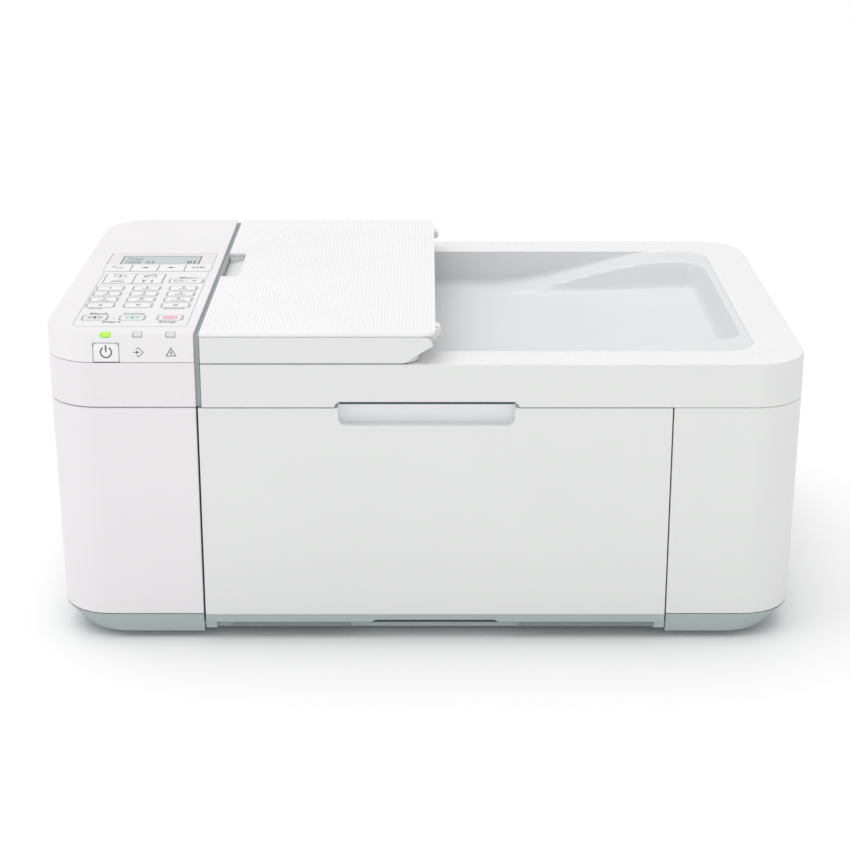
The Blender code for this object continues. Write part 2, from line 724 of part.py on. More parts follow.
def document_cover():
    """The lid with its catch tray. It turns on the two rear pins."""
    xs, pivot_y, pivot_z = hinge_places()
    origin = (0, pivot_y, pivot_z)
    lid = prism(
        "document_cover",
        (X_LID, X_RIGHT),
        (Y_FRONT, Y_BACK),
        (Z_SEAM, Z_RIM),
        (1.0, CORNER_RADIUS, CORNER_RADIUS, 1.0),
        LID_WHITE,
        origin=origin,
    )
    floor = Z_RIM - RECESS_DEPTH
    recess_x = (X_LID + 22.0, X_RIGHT - RECESS_RIGHT)
    recess_y = (Y_FRONT + RECESS_FRONT, Y_BACK - RECESS_BACK)
    rise_start = recess_x[1] - 26.0 - SHELF_RUN
    steps = 12
    profile = [(recess_x[0] - FAR, floor)]
    for i in range(steps + 1):
        x = rise_start + SHELF_RUN * i / steps
        profile.append((x, shelf_height(x, floor, Z_RIM - 0.6, rise_start)))
    profile.append((recess_x[1] + FAR, Z_RIM - 0.6))
    profile.append((recess_x[1] + FAR, Z_RIM + FAR))
    profile.append((recess_x[0] - FAR, Z_RIM + FAR))
    sweep = loft(
        "recess_shelf",
        [[(x, recess_y[1] + FAR, z) for x, z in profile], [(x, recess_y[0] - FAR, z) for x, z in profile]],
    )
    well = prism(
        "recess_well",
        recess_x,
        recess_y,
        (floor - 1, Z_RIM + FAR / 2),
        (0, RECESS_RADIUS, RECESS_RADIUS, 0),
    )
    combine(well, sweep, "INTERSECT")
    top_x = recess_x[1] - BASIN_RIGHT
    top_y = (recess_y[0] + BASIN_MARGIN, recess_y[1] - BASIN_MARGIN)
    low_x = (rise_start - 10, top_x - BASIN_SLOPE)
    low_y = (top_y[0] + BASIN_SLOPE, top_y[1] - BASIN_SLOPE)
    lower = rounded_outline(*low_x, *low_y, (6, 9, 9, 6), COLUMN_STEPS)
    upper = rounded_outline(rise_start - 16, top_x, *top_y, (10, 16, 16, 10), COLUMN_STEPS)
    climb = BASIN_RISE / (low_x[1] - low_x[0])
    bottom = [(x, y, floor + climb * (x - low_x[0])) for x, y in lower]
    basin = loft("recess_basin", [bottom, [(x, y, Z_RIM + 1) for x, y in upper]])
    under = block(
        "lid_under",
        (X_LID + WALL, X_RIGHT - WALL - 6),
        (Y_FRONT + 10, Y_BACK - 18),
        (Z_SEAM - FAR, Z_SEAM + 2.5),
    )
    front_hollow = block(
        "lid_front_hollow",
        (X_LID + WALL, X_RIGHT - CORNER_RADIUS),
        (Y_FRONT + 10, recess_y[0] - WALL),
        (Z_SEAM - FAR, Z_RIM - WALL),
    )
    right_hollow = block(
        "lid_right_hollow",
        (recess_x[1] + WALL, X_RIGHT - 10),
        (Y_FRONT + CORNER_RADIUS, Y_BACK - CORNER_RADIUS),
        (Z_SEAM - FAR, Z_RIM - WALL),
    )
    handle = handle_lip("lid_handle", Z_SEAM - FAR, Z_SEAM + HANDLE_LIFT, 6.0)
    cut(lid, well, basin, under, front_hollow, right_hollow, handle)
    rabbet = block(
        "lid_rabbet",
        (X_LID - FAR, X_RIGHT + FAR),
        (pivot_y - 3.2, Y_BACK + FAR),
        (Z_SEAM - FAR, pivot_z + 1.0),
    )
    cut(lid, rabbet)
    for x in xs:
        pocket = block(
            "lid_hinge_pocket",
            (x - HINGE_POST / 2 - 0.8, x + HINGE_POST / 2 + 0.8),
            (pivot_y - 8.4, Y_BACK + FAR),
            (Z_SEAM - FAR, pivot_z + 8.0),
        )
        cut(lid, pocket)
        for side in (-1, 1):
            start = x + side * (HINGE_POST / 2 + 0.8)
            end = x + side * (HINGE_POST + 8)
            cheek = block(
                "lid_hinge_cheek",
                (min(start, end), max(start, end)),
                (pivot_y - 3.4, pivot_y + 3.4),
                (pivot_z - 3.4, pivot_z + 2.0),
            )
            join(lid, cheek)
        bore = bar(
            "lid_hinge_bore",
            (x - HINGE_POST - 0.8, pivot_y, pivot_z),
            (x + HINGE_POST + 0.8, pivot_y, pivot_z),
            1.8 + PIN_CLEARANCE,
            sides=16,
        )
        cut(lid, bore)
    sheet = block(
        "pressure_sheet",
        (X_LID + WALL + 4, X_RIGHT - WALL - 12),
        (Y_FRONT + 14, Y_BACK - 24),
        (Z_SEAM + 0.3, Z_SEAM + 2.5 - GAP),
        FOAM,
    )
    return sheet


HANDLE_FLARE = 2.2


def handle_lip(name, low, high, depth):
    """The lid's part of the finger notch at the middle of the front; its sides flare out towards the seam."""
    half = HANDLE_WIDTH / 2
    wide = half + HANDLE_FLARE
    knee = Z_SEAM + 0.6
    outline = [(wide, low), (wide, knee), (half, high), (-half, high), (-wide, knee), (-wide, low)]
    return loft(name, [[(x, y, z) for x, z in outline] for y in (Y_FRONT + depth, Y_FRONT - FAR)])


STRIP_CORNER = 12.0
TRAY_PIVOT = (0.5, -2.2)
EAR_WIDTH = 4.0
EAR_RADIUS = 2.0
TRAY_NOTCH = (11.0, 60.0)
TRAY_NOTCH_AT = 10.0


def document_feeder():
    """The feeder's frame on the lid, its top plate, inner cover, guides and roller."""
    floor = Z_RIM + 0.6
    z = (floor, Z_PLATE - GAP)
    frame_right = X_FEEDER - 9.0
    frame = prism(
        "adf_frame",
        (X_LID, frame_right),
        (Y_FRONT, Y_DECK),
        z,
        (1.0, STRIP_CORNER, 1.0, 1.0),
        LID_WHITE,
    )
    strip = strip_block(z)
    join(frame, strip)
    inside = prism(
        "adf_inside",
        (X_LID + FEEDER_WALL, frame_right - FEEDER_WALL),
        (Y_FRONT + 3.4, Y_DECK - FEEDER_WALL),
        (floor + FEEDER_WALL, HEIGHT + FAR),
        (0, STRIP_CORNER - FEEDER_WALL, 0, 0),
    )
    exit_cut = block(
        "adf_exit",
        (frame_right - FEEDER_WALL - 1, frame_right + 1),
        (Y_FRONT + 12, Y_DECK - 14),
        (HEIGHT - 8.0, HEIGHT + FAR),
    )
    notch_y = (TRAY_NOTCH_AT - TRAY_NOTCH[1] / 2, TRAY_NOTCH_AT + TRAY_NOTCH[1] / 2)
    notch = block("adf_notch", (X_LID - FAR, X_LID + TRAY_NOTCH[0]), notch_y, (HEIGHT - 6.5, HEIGHT + FAR))
    cut(frame, inside, exit_cut)
    ramp = loft(
        "adf_ramp",
        [
            [
                (X_LID, y, z[0] + 1),
                (X_LID + TRAY_NOTCH[0] + 4, y, z[0] + 1),
                (X_LID + TRAY_NOTCH[0] + 4, y, z[1] - 1.4),
                (X_LID, y, HEIGHT - 7),
            ]
            for y in reversed(notch_y)
        ],
    )
    cut(frame, notch)
    join(frame, ramp)
    pivot = (X_FEEDER + TRAY_PIVOT[0], 0, Z_PLATE + TRAY_PIVOT[1])
    ears = (Y_FRONT + 20, Y_DECK - 20)
    for number, y in enumerate(ears):
        inward = 1 if number == 0 else -1
        ear = block(
            "adf_ear",
            (frame_right - 1, pivot[0]),
            (min(y, y - inward * EAR_WIDTH), max(y, y - inward * EAR_WIDTH)),
            (pivot[2] - 4.5, pivot[2] + EAR_RADIUS),
        )
        knuckle = bar(
            "adf_ear_knuckle",
            (pivot[0], y - inward * EAR_WIDTH, pivot[2]),
            (pivot[0], y, pivot[2]),
            EAR_RADIUS,
        )
        pin = bar(
            "adf_ear_pin",
            (pivot[0], y - inward * 2, pivot[2]),
            (pivot[0], y + inward * 4.5, pivot[2]),
            PIN_RADIUS,
            sides=16,
        )
        join(frame, ear, knuckle, pin)
    plate = prism(
        "document_tray",
        (X_LID, X_FEEDER),
        (Y_FRONT, Y_DECK),
        (Z_PLATE, HEIGHT),
        (1.0, FEEDER_RADIUS, FEEDER_RADIUS, 1.0),
        LID_WHITE,
        origin=pivot,
    )
    plate_notch = prism(
        "tray_notch",
        (X_LID - FAR, X_LID + TRAY_NOTCH[0]),
        notch_y,
        (HEIGHT - FAR, HEIGHT + FAR),
        (0, 3, 3, 0),
    )
    cut(plate, plate_notch)
    for number, y in enumerate(ears):
        inward = 1 if number == 0 else -1
        near = y + inward * 0.5
        far = y + inward * 9.0
        lug = block(
            "tray_lug",
            (X_FEEDER - 5.0, pivot[0]),
            (min(near, far), max(near, far)),
            (pivot[2] - 2.0, Z_PLATE + 0.5),
        )
        barrel = bar("tray_barrel", (pivot[0], near, pivot[2]), (pivot[0], far, pivot[2]), 2.6)
        join(plate, lug, barrel)
        bore = bar(
            "tray_bore",
            (pivot[0], near - inward, pivot[2]),
            (pivot[0], y + inward * 5.5, pivot[2]),
            PIN_RADIUS + PIN_CLEARANCE,
            sides=16,
        )
        cut(plate, bore)
    feeder_inside(frame, floor + FEEDER_WALL, frame_right - FEEDER_WALL)


def strip_block(z):
    """The feeder's front strip, with a chamfered lower right corner and a rounded upper one."""
    radius = 5.0
    right = X_FEEDER - 1.6
    outline = [(X_LID + 2.0, z[0]), (right - 16.5, z[0]), (right, z[0] + 10.0)]
    for step in range(5):
        angle = step * math.pi / 2 / 4
        outline.append((right - radius + radius * math.cos(angle), z[1] - radius + radius * math.sin(angle)))
    outline.append((X_LID + 2.0, z[1]))
    return loft("adf_strip", [[(x, y, height) for x, height in outline] for y in (Y_FRONT + 3.4, Y_FRONT)])


def feeder_inside(frame, floor, right):
    left = X_LID + TRAY_NOTCH[0] + 6.0
    pivot = (left + 2.0, 0, Z_PLATE - 3.2)
    cover_end = left + 56.0
    cover = block(
        "feeder_cover",
        (left, cover_end),
        (Y_FRONT + 12, Y_DECK - 12),
        (floor + 1.0, Z_PLATE - 2.0),
        WHITE,
        pivot,
        0.8,
    )
    hollow = block(
        "feeder_cover_hollow",
        (left + 2, cover_end + FAR / 8),
        (Y_FRONT + 14, Y_DECK - 14),
        (floor - FAR, Z_PLATE - 4.2),
    )
    cut(cover, hollow)
    axle = (cover_end + 8.0, floor + 5.2)
    roller = bar("adf_feed_roller", (axle[0], -17, axle[1]), (axle[0], 17, axle[1]), 4.2, RUBBER)
    shaft = bar("adf_roller_shaft", (axle[0], -42, axle[1]), (axle[0], 42, axle[1]), 1.5, sides=16)
    join(roller, shaft)
    for y in (-41.5, 41.5):
        stand = block(
            "adf_roller_stand",
            (axle[0] - 3.5, axle[0] + 3.5),
            (y - 1.5, y + 1.5),
            (floor - 1, axle[1] + 3.5),
        )
        join(frame, stand)
    stand_bore = bar(
        "adf_stand_bore", (axle[0], -46, axle[1]), (axle[0], 46, axle[1]), 1.5 + PIN_CLEARANCE, sides=16
    )
    cut(frame, stand_bore)
    for name, y, side in (
        ("document_guide_front", Y_FRONT + 36.0, 1),
        ("document_guide_rear", Y_DECK - 36.0, -1),
    ):
        guide = block(
            name,
            (cover_end + 16.0, right - 3.0),
            (y - 2.0, y + 2.0),
            (floor + GAP, floor + 9.0),
            WHITE,
        )
        foot = block(
            name + "_foot",
            (cover_end + 16.0, right - 3.0),
            (min(y, y + side * 16.0), max(y, y + side * 16.0)),
            (floor + GAP, floor + 1.8),
        )
        join(guide, foot)


NOTCH_TOP_HALF = 35.0
NOTCH_BOTTOM_HALF = 43.0


def front_cover():
    """The big front door. It folds down on two pins at its bottom corners."""
    x = (X_PANEL + 1.1, X_COLUMN - 0.8)
    top = Z_SEAM - 0.6
    pivot = (X_BAY, Y_FRONT + COVER_PIVOT_SETBACK, COVER_PIVOT_HEIGHT)
    cover = block(
        "front_cover",
        x,
        (Y_FRONT, Y_FRONT + COVER_DEPTH),
        (COVER_BOTTOM, top),
        WHITE,
        pivot,
    )
    hollow = block(
        "cover_hollow",
        (x[0] + COVER_EDGE, x[1] - COVER_EDGE),
        (Y_FRONT + COVER_SKIN, Y_FRONT + FAR),
        (COVER_BOTTOM + COVER_EDGE, top - COVER_EDGE),
    )
    cut(cover, hollow)
    half = HANDLE_WIDTH / 2
    cup = block(
        "cover_cup",
        (-half - COVER_EDGE, half + COVER_EDGE),
        (Y_FRONT + COVER_SKIN / 2, Y_FRONT + COVER_DEPTH),
        (Z_SEAM - HANDLE_DROP - COVER_EDGE, top),
    )
    join(cover, cup)
    finger = prism_front(
        "cover_finger",
        half,
        Z_SEAM - HANDLE_DROP,
        Z_SEAM + 5,
        Y_FRONT + COVER_DEPTH - COVER_EDGE,
    )
    cut(cover, finger)
    mouse_hole = loft(
        "cover_bottom_notch",
        [
            [(X_BAY - h, y, z) for h, y, z in ring]
            for ring in (
                (
                    (NOTCH_BOTTOM_HALF, Y_FRONT - 2, COVER_BOTTOM - 3),
                    (-NOTCH_BOTTOM_HALF, Y_FRONT - 2, COVER_BOTTOM - 3),
                    (-NOTCH_BOTTOM_HALF, Y_FRONT + FAR, COVER_BOTTOM - 3),
                    (NOTCH_BOTTOM_HALF, Y_FRONT + FAR, COVER_BOTTOM - 3),
                ),
                (
                    (NOTCH_TOP_HALF, Y_FRONT - 2, COVER_BOTTOM + 1.3),
                    (-NOTCH_TOP_HALF, Y_FRONT - 2, COVER_BOTTOM + 1.3),
                    (-NOTCH_TOP_HALF, Y_FRONT + FAR, COVER_BOTTOM + 1.3),
                    (NOTCH_TOP_HALF, Y_FRONT + FAR, COVER_BOTTOM + 1.3),
                ),
            )
        ],
    )
    cut(cover, mouse_hole)
    for edge, inward in ((x[0], 1), (x[1], -1)):
        start = edge
        end = edge + inward * 6.5
        lug = block(
            "cover_lug",
            (min(start, end), max(start, end)),
            (Y_FRONT + 1.2, Y_FRONT + COVER_PIVOT_SETBACK + 2.4),
            (COVER_PIVOT_HEIGHT - 2.4, COVER_BOTTOM + 1.0),
        )
        pin = bar(
            "cover_pin",
            (edge + inward * 2, pivot[1], pivot[2]),
            (edge - inward * 2.8, pivot[1], pivot[2]),
            PIN_RADIUS,
            sides=16,
        )
        join(cover, lug, pin)


def prism_front(name, half, low, high, back):
    """A cutter from the front, with rounded lower corners."""
    radius = 4.4
    outline = [(half, high), (-half, high)]
    for step in range(5):
        angle = math.pi + step * math.pi / 2 / 4
        outline.append((-half + radius + radius * math.cos(angle), low + radius + radius * math.sin(angle)))
    for step in range(5):
        angle = 1.5 * math.pi + step * math.pi / 2 / 4
        outline.append((half - radius + radius * math.cos(angle), low + radius + radius * math.sin(angle)))
    return loft(name, [[(x, y, z) for x, z in outline] for y in (Y_FRONT - FAR, back)])


OUTPUT_TRAY_WIDTH = 214.0


def paper_bay():
    """Chassis, paper trays, guides, rollers, carriage and cartridges inside the bay."""
    z_top = Z_SEAM - SCANNER_HEIGHT - 2.0
    bay = (X_PANEL + 2.2, X_COLUMN - 2.2)
    plate_y = (Y_FRONT + RETURN_DEPTH + 3.0, Y_BACK - 30.0)
    plate_z = (Z_INSIDE + GAP, z_top)
    beam_y = 48.0
    chassis = block("chassis", (bay[0], bay[0] + 1.6), plate_y, plate_z, STEEL)
    right_plate = block("chassis_right", (bay[1] - 1.6, bay[1]), plate_y, plate_z)
    beam = block(
        "chassis_beam",
        (bay[0] + 0.4, bay[1] - 0.4),
        (beam_y, beam_y + 1.6),
        (plate_z[1] - 40, plate_z[1] - 1),
    )
    rail = block(
        "chassis_rail",
        (bay[0] + 0.4, bay[1] - 0.4),
        (beam_y - 9, beam_y + 1),
        (plate_z[1] - 8, plate_z[1] - 6.4),
    )
    floor_bar = block(
        "chassis_floor",
        (bay[0] + 0.4, bay[1] - 0.4),
        (beam_y + 30, beam_y + 50),
        (plate_z[0], plate_z[0] + 1.6),
    )
    join(chassis, right_plate, beam, rail, floor_bar)
    roller_y = beam_y - 22.0
    front_y = beam_y - 78.0
    carriage_top = plate_z[1] - 11.0
    axle_z = carriage_top - CARRIAGE_HEIGHT - ROLLER_RADIUS - 3.0
    for name, y in (("feed_roller", roller_y), ("eject_roller", front_y)):
        roller = bar(
            name,
            (bay[0] + 22, y, axle_z),
            (bay[1] - 22, y, axle_z),
            ROLLER_RADIUS,
            RUBBER,
            (X_BAY, y, axle_z),
            sides=24,
        )
        axle = bar(
            name + "_axle",
            (bay[0] + 0.2, y, axle_z),
            (bay[1] - 0.2, y, axle_z),
            AXLE_RADIUS,
            sides=16,
        )
        join(roller, axle)
        bore = bar(
            name + "_bore",
            (bay[0] - 5, y, axle_z),
            (bay[1] + 5, y, axle_z),
            AXLE_RADIUS + PIN_CLEARANCE,
            sides=16,
        )
        cut(chassis, bore)
    platen = block(
        "print_platen",
        (bay[0] + 14, bay[1] - 14),
        (front_y + ROLLER_RADIUS + 4, roller_y - ROLLER_RADIUS - 4),
        (axle_z - 4, axle_z + ROLLER_RADIUS - 1.5),
        BLACK,
        None,
        0.8,
    )
    for y in (-24.0, -10.0, 4.0):
        groove = block(
            "platen_groove",
            (bay[0] + 24, bay[1] - 24),
            (y - 4, y - 1),
            (axle_z + ROLLER_RADIUS - 3.5, axle_z + FAR),
        )
        cut(platen, groove)
    carriage_unit(bay, beam_y, carriage_top - CARRIAGE_HEIGHT, plate_z[1] - 8)
    trays(front_y, axle_z - TRAY_DROP)


def carriage_unit(bay, beam_y, low, rail_z):
    x = (bay[1] - 12 - CARRIAGE_WIDTH, bay[1] - 12)
    y = (beam_y - 72, beam_y - 11)
    carriage = block("carriage", x, y, (low, rail_z - 3), BLACK, None, 1.0)
    wall = 2.0
    middle = (x[0] + x[1]) / 2
    for name, span in (
        ("colour_cartridge", (x[0] + wall, middle - 1)),
        ("black_cartridge", (middle + 1, x[1] - wall)),
    ):
        bay_cut = block(name + "_bay", span, (y[0] - 1, y[1] - 3), (low + 2, rail_z + FAR))
        cut(carriage, bay_cut)
        cartridge = block(
            name,
            (span[0] + GAP, span[1] - GAP),
            (y[0] + 1, y[1] - 4),
            (low + 2 + GAP, rail_z - 5),
            BLACK,
            None,
            1.0,
        )
        grip = block(
            name + "_grip",
            (span[0] + 8, span[1] - 8),
            (y[0] - 2, y[0] + 4),
            (rail_z - 14, rail_z - 9),
        )
        join(cartridge, grip)
    belt_z = (rail_z + 2.2, rail_z + 6.6)
    belt_y = (beam_y - 7.0, beam_y - 1.2)
    belt = prism("carriage_belt", (bay[0] + 8, bay[1] - 8), belt_y, belt_z, (2.8,) * 4, RUBBER, steps=4)
    inner = prism(
        "belt_inside",
        (bay[0] + 9, bay[1] - 9),
        (belt_y[0] + 1, belt_y[1] - 1),
        (belt_z[0] - 1, belt_z[1] + 1),
        (1.8,) * 4,
        steps=4,
    )
    cut(belt, inner)
    bar(
        "carriage_motor",
        (bay[0] + 26, beam_y + 3, rail_z - 16),
        (bay[0] + 26, beam_y + 33, rail_z - 16),
        13,
        STEEL,
    )


def trays(front_y, tray_low):
    front = Y_FRONT + COVER_DEPTH + 2.0
    half = min(OUTPUT_TRAY_WIDTH, BAY_WIDTH - 20) / 2
    tray_z = (tray_low, tray_low + TRAY_THICKNESS)
    tray = block(
        "paper_output_tray",
        (X_BAY - half, X_BAY + half),
        (front, front_y - ROLLER_RADIUS - 4),
        tray_z,
        DARK,
        None,
        0.8,
    )
    dish = block(
        "output_tray_dish",
        (X_BAY - half + 20, X_BAY + half - 20),
        (front + 8, front_y - ROLLER_RADIUS - 10),
        (tray_z[1] - 1.4, tray_z[1] + FAR),
    )
    cut(tray, dish)
    guide_z = Z_INSIDE + GAP + 0.3
    for name, side in (("paper_guide_left", -1), ("paper_guide_right", 1)):
        edge = X_BAY + side * (half - 2)
        guide = block(
            name,
            (edge - 1.2, edge + 1.2),
            (front + 4, front + 84),
            (guide_z, min(guide_z + GUIDE_HEIGHT, tray_low - 2.0)),
            DARK,
        )
        foot = block(
            name + "_foot",
            (min(edge, edge - side * 22), max(edge, edge - side * 22)),
            (front + 14, front + 70),
            (guide_z, guide_z + 1.6),
        )
        join(guide, foot)


BOARD_THICKNESS = 1.6


def electronics():
    """The main board on edge in the left column and the power unit with its inlet in the right one."""
    x = X_LEFT + WALL + SIDE_DRAFT + 12
    board_top = Z_SEAM - SCANNER_HEIGHT - 6
    board = block(
        "main_board", (x, x + BOARD_THICKNESS), (-70, Y_BACK - 36), (BASE_HEIGHT + 6, board_top), BOARD
    )
    for y, size in ((-40.0, 22.0), (0.0, 30.0), (44.0, 18.0)):
        chip = block(
            "board_chip",
            (x + BOARD_THICKNESS - 0.3, x + BOARD_THICKNESS + 3.0),
            (y, y + size),
            (BASE_HEIGHT + 30, BASE_HEIGHT + 30 + size),
        )
        join(board, chip)
    inlet_x = X_SOCKET
    low = BASE_HEIGHT + 1.0
    supply = block(
        "power_supply",
        (inlet_x - 20.0, inlet_x + 20.0),
        (Y_BACK - 110, Y_BACK - WALL - 2.0),
        (low, low + 50),
        BLACK,
        None,
        1.2,
    )
    nose = block(
        "inlet_nose",
        (inlet_x - SOCKET_SIZE[0] / 2 + GAP, inlet_x + SOCKET_SIZE[0] / 2 - GAP),
        (Y_BACK - WALL - 4.0, Y_BACK - 0.6),
        (SOCKET_HEIGHT - SOCKET_SIZE[1] / 2 + GAP, SOCKET_HEIGHT + SOCKET_SIZE[1] / 2 - GAP),
    )
    join(supply, nose)
    for side in (-1, 1):
        pin_hole = bar(
            "inlet_hole",
            (inlet_x + side * 5.5, Y_BACK - 14, SOCKET_HEIGHT),
            (inlet_x + side * 5.5, Y_BACK + 1, SOCKET_HEIGHT),
            3.6,
            sides=16,
        )
        cut(supply, pin_hole)


base_tray()
side_covers()
rear_cover()
transport_cover()
left_upper_cover()
operation_panel()
scanner_housing()
document_cover()
document_feeder()
front_cover()
paper_bay()
electronics()
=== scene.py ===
"""The printer's finished look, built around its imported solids: softened mouldings, a smooth catch tray,
ribbed feeder plate, printed keypad, lit display, inner mechanism details, studio floor, lights and camera.
"""

import json
import math

import bmesh
import bpy
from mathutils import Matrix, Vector


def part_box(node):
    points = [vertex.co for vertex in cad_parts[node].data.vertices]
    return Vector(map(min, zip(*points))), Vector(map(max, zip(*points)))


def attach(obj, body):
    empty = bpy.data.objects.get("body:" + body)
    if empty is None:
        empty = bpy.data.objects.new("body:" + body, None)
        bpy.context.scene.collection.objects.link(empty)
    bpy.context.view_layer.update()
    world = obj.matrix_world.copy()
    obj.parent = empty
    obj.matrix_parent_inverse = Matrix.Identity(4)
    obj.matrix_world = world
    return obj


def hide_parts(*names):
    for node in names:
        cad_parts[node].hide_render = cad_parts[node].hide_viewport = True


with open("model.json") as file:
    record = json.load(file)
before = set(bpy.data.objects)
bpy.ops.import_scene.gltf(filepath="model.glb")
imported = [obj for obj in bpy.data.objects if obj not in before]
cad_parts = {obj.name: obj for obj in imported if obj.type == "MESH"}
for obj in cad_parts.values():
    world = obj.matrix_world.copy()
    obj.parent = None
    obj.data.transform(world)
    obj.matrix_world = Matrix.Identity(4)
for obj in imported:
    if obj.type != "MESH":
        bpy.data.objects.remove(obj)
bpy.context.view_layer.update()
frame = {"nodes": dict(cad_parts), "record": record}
MM = 0.001

scene = bpy.context.scene
BODIES = frame["record"]["behaviour"]["bodies"]
BODY_OF = {node: body for body, nodes in BODIES.items() for node in nodes}
BOXES = {node: [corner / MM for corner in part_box(node)] for node in frame["nodes"]}


def box_mm(node):
    """The low and the high corner of a node's box, in mm."""
    return BOXES[node]


def new_object(name, data):
    """An object in the scene, made of that data."""
    made = bpy.data.objects.new(name, data)
    scene.collection.objects.link(made)
    return made


# ---------------------------------------------------------------- camera and studio

CAMERA_PLACE = (0.0, -1.221, 0.500)
CAMERA_PITCH = 18.85
CAMERA_LENS = 84.03
CAMERA_SHIFT = -0.002


def make_camera():
    data = bpy.data.cameras.new("studio_camera")
    data.lens = CAMERA_LENS
    data.sensor_width = 36.0
    data.shift_x = CAMERA_SHIFT
    data.clip_end = 50.0
    camera = new_object("studio_camera", data)
    camera.location = CAMERA_PLACE
    camera.rotation_euler = (math.radians(90.0 - CAMERA_PITCH), 0.0, 0.0)
    scene.camera = camera


WORLD_LIGHT = 0.6
OVERHEAD_LIGHT = 1.55
OVERHEAD_SPREAD = 75
OVERHEAD_TILT = (-12, -8, 0)
LIGHTS_AIM = (0.0, 0.0, 0.1)
FLOOR_SIZE = 80.0

# Name, place, size and power of each softbox.
SOFTBOXES = [
    ("left_softbox", (-1.9, -1.0, 1.0), (1.4, 1.6), 5.5),
    ("front_fill", (0.4, -2.6, 0.8), (2.2, 1.2), 9.0),
]


def soft_light(name, place, size, power):
    data = bpy.data.lights.new(name, "AREA")
    data.shape = "RECTANGLE"
    data.size = size[0]
    data.size_y = size[1]
    data.energy = power
    lamp = new_object(name, data)
    lamp.location = place
    direction = Vector(LIGHTS_AIM) - Vector(place)
    lamp.rotation_euler = direction.to_track_quat("-Z", "Y").to_euler()


def make_studio():
    """A white room: an even sky, a wide overhead cloth, two softboxes and a paper floor."""
    world = bpy.data.worlds.new("studio_world")
    world.use_nodes = True
    background = world.node_tree.nodes["Background"]
    background.inputs["Color"].default_value = (1.0, 1.0, 1.0, 1.0)
    background.inputs["Strength"].default_value = WORLD_LIGHT
    scene.world = world
    scene.view_settings.view_transform = "Standard"
    overhead = bpy.data.lights.new("overhead_cloth", "SUN")
    overhead.energy = OVERHEAD_LIGHT
    overhead.angle = math.radians(OVERHEAD_SPREAD)
    lamp = new_object("overhead_cloth", overhead)
    lamp.rotation_euler = [math.radians(turn) for turn in OVERHEAD_TILT]
    for softbox in SOFTBOXES:
        soft_light(*softbox)
    shape = bmesh.new()
    bmesh.ops.create_grid(shape, x_segments=1, y_segments=1, size=FLOOR_SIZE)
    mesh = mesh_of(shape, "studio_floor")
    mesh.materials.append(floor_paint())
    floor = new_object("studio_floor", mesh)


# ---------------------------------------------------------------- finishes


def new_finish(name, color, roughness, metallic=0.0):
    made = bpy.data.materials.new(name)
    made.use_nodes = True
    shader = made.node_tree.nodes["Principled BSDF"]
    shader.inputs["Base Color"].default_value = (*color, 1.0)
    shader.inputs["Roughness"].default_value = roughness
    shader.inputs["Metallic"].default_value = metallic
    return made, made.node_tree, shader


def add_node(tree, kind, **values):
    node = tree.nodes.new(kind)
    for key, value in values.items():
        setattr(node, key, value)
    return node


def place_of(tree):
    """Coordinates that stay with the piece."""
    return add_node(tree, "ShaderNodeTexCoord").outputs["Object"]


def noise_of(tree, coordinates, scale, detail):
    noise = add_node(tree, "ShaderNodeTexNoise")
    noise.inputs["Scale"].default_value = scale
    noise.inputs["Detail"].default_value = detail
    tree.links.new(coordinates, noise.inputs["Vector"])
    return noise.outputs["Fac"]


def calculated(tree, operation, first, second=None):
    """The result of a Math node on sockets or plain numbers."""
    node = add_node(tree, "ShaderNodeMath", operation=operation)
    for socket, value in zip(node.inputs, (first, second)):
        if isinstance(value, float):
            socket.default_value = value
        elif value is not None:
            tree.links.new(value, socket)
    return node.outputs[0]


def ranged(tree, value, low, high):
    remap = add_node(tree, "ShaderNodeMapRange")
    remap.inputs["To Min"].default_value = low
    remap.inputs["To Max"].default_value = high
    tree.links.new(value, remap.inputs["Value"])
    return remap.outputs["Result"]


def add_bump(tree, shader, height, strength, distance):
    bump = add_node(tree, "ShaderNodeBump")
    bump.inputs["Strength"].default_value = strength
    bump.inputs["Distance"].default_value = distance
    tree.links.new(height, bump.inputs["Height"])
    tree.links.new(bump.outputs["Normal"], shader.inputs["Normal"])


def vary_color(tree, shader, color, tone, factor):
    """Lets the colour drift from that much darker to that much lighter."""
    mix = add_node(tree, "ShaderNodeMix", data_type="RGBA")
    mix.inputs["A"].default_value = (*[c * (1 - tone) for c in color], 1.0)
    mix.inputs["B"].default_value = (*[min(c * (1 + tone), 1.0) for c in color], 1.0)
    tree.links.new(factor, mix.inputs["Factor"])
    tree.links.new(mix.outputs["Result"], shader.inputs["Base Color"])


def moulded(name, color, roughness, grain=2600.0, depth=0.00002, spread=0.05, tone=0.02):
    """Injection-moulded plastic: a spark-eroded grain, and a gloss and tone that drift a little."""
    made, tree, shader = new_finish(name, color, roughness)
    place = place_of(tree)
    drift = noise_of(tree, place, 14.0, 2.0)
    tree.links.new(ranged(tree, drift, roughness - spread, roughness + spread), shader.inputs["Roughness"])
    vary_color(tree, shader, color, tone, drift)
    add_bump(tree, shader, noise_of(tree, place, grain, 2.0), 0.35, depth)
    shader.inputs["Specular IOR Level"].default_value = 0.5
    return made


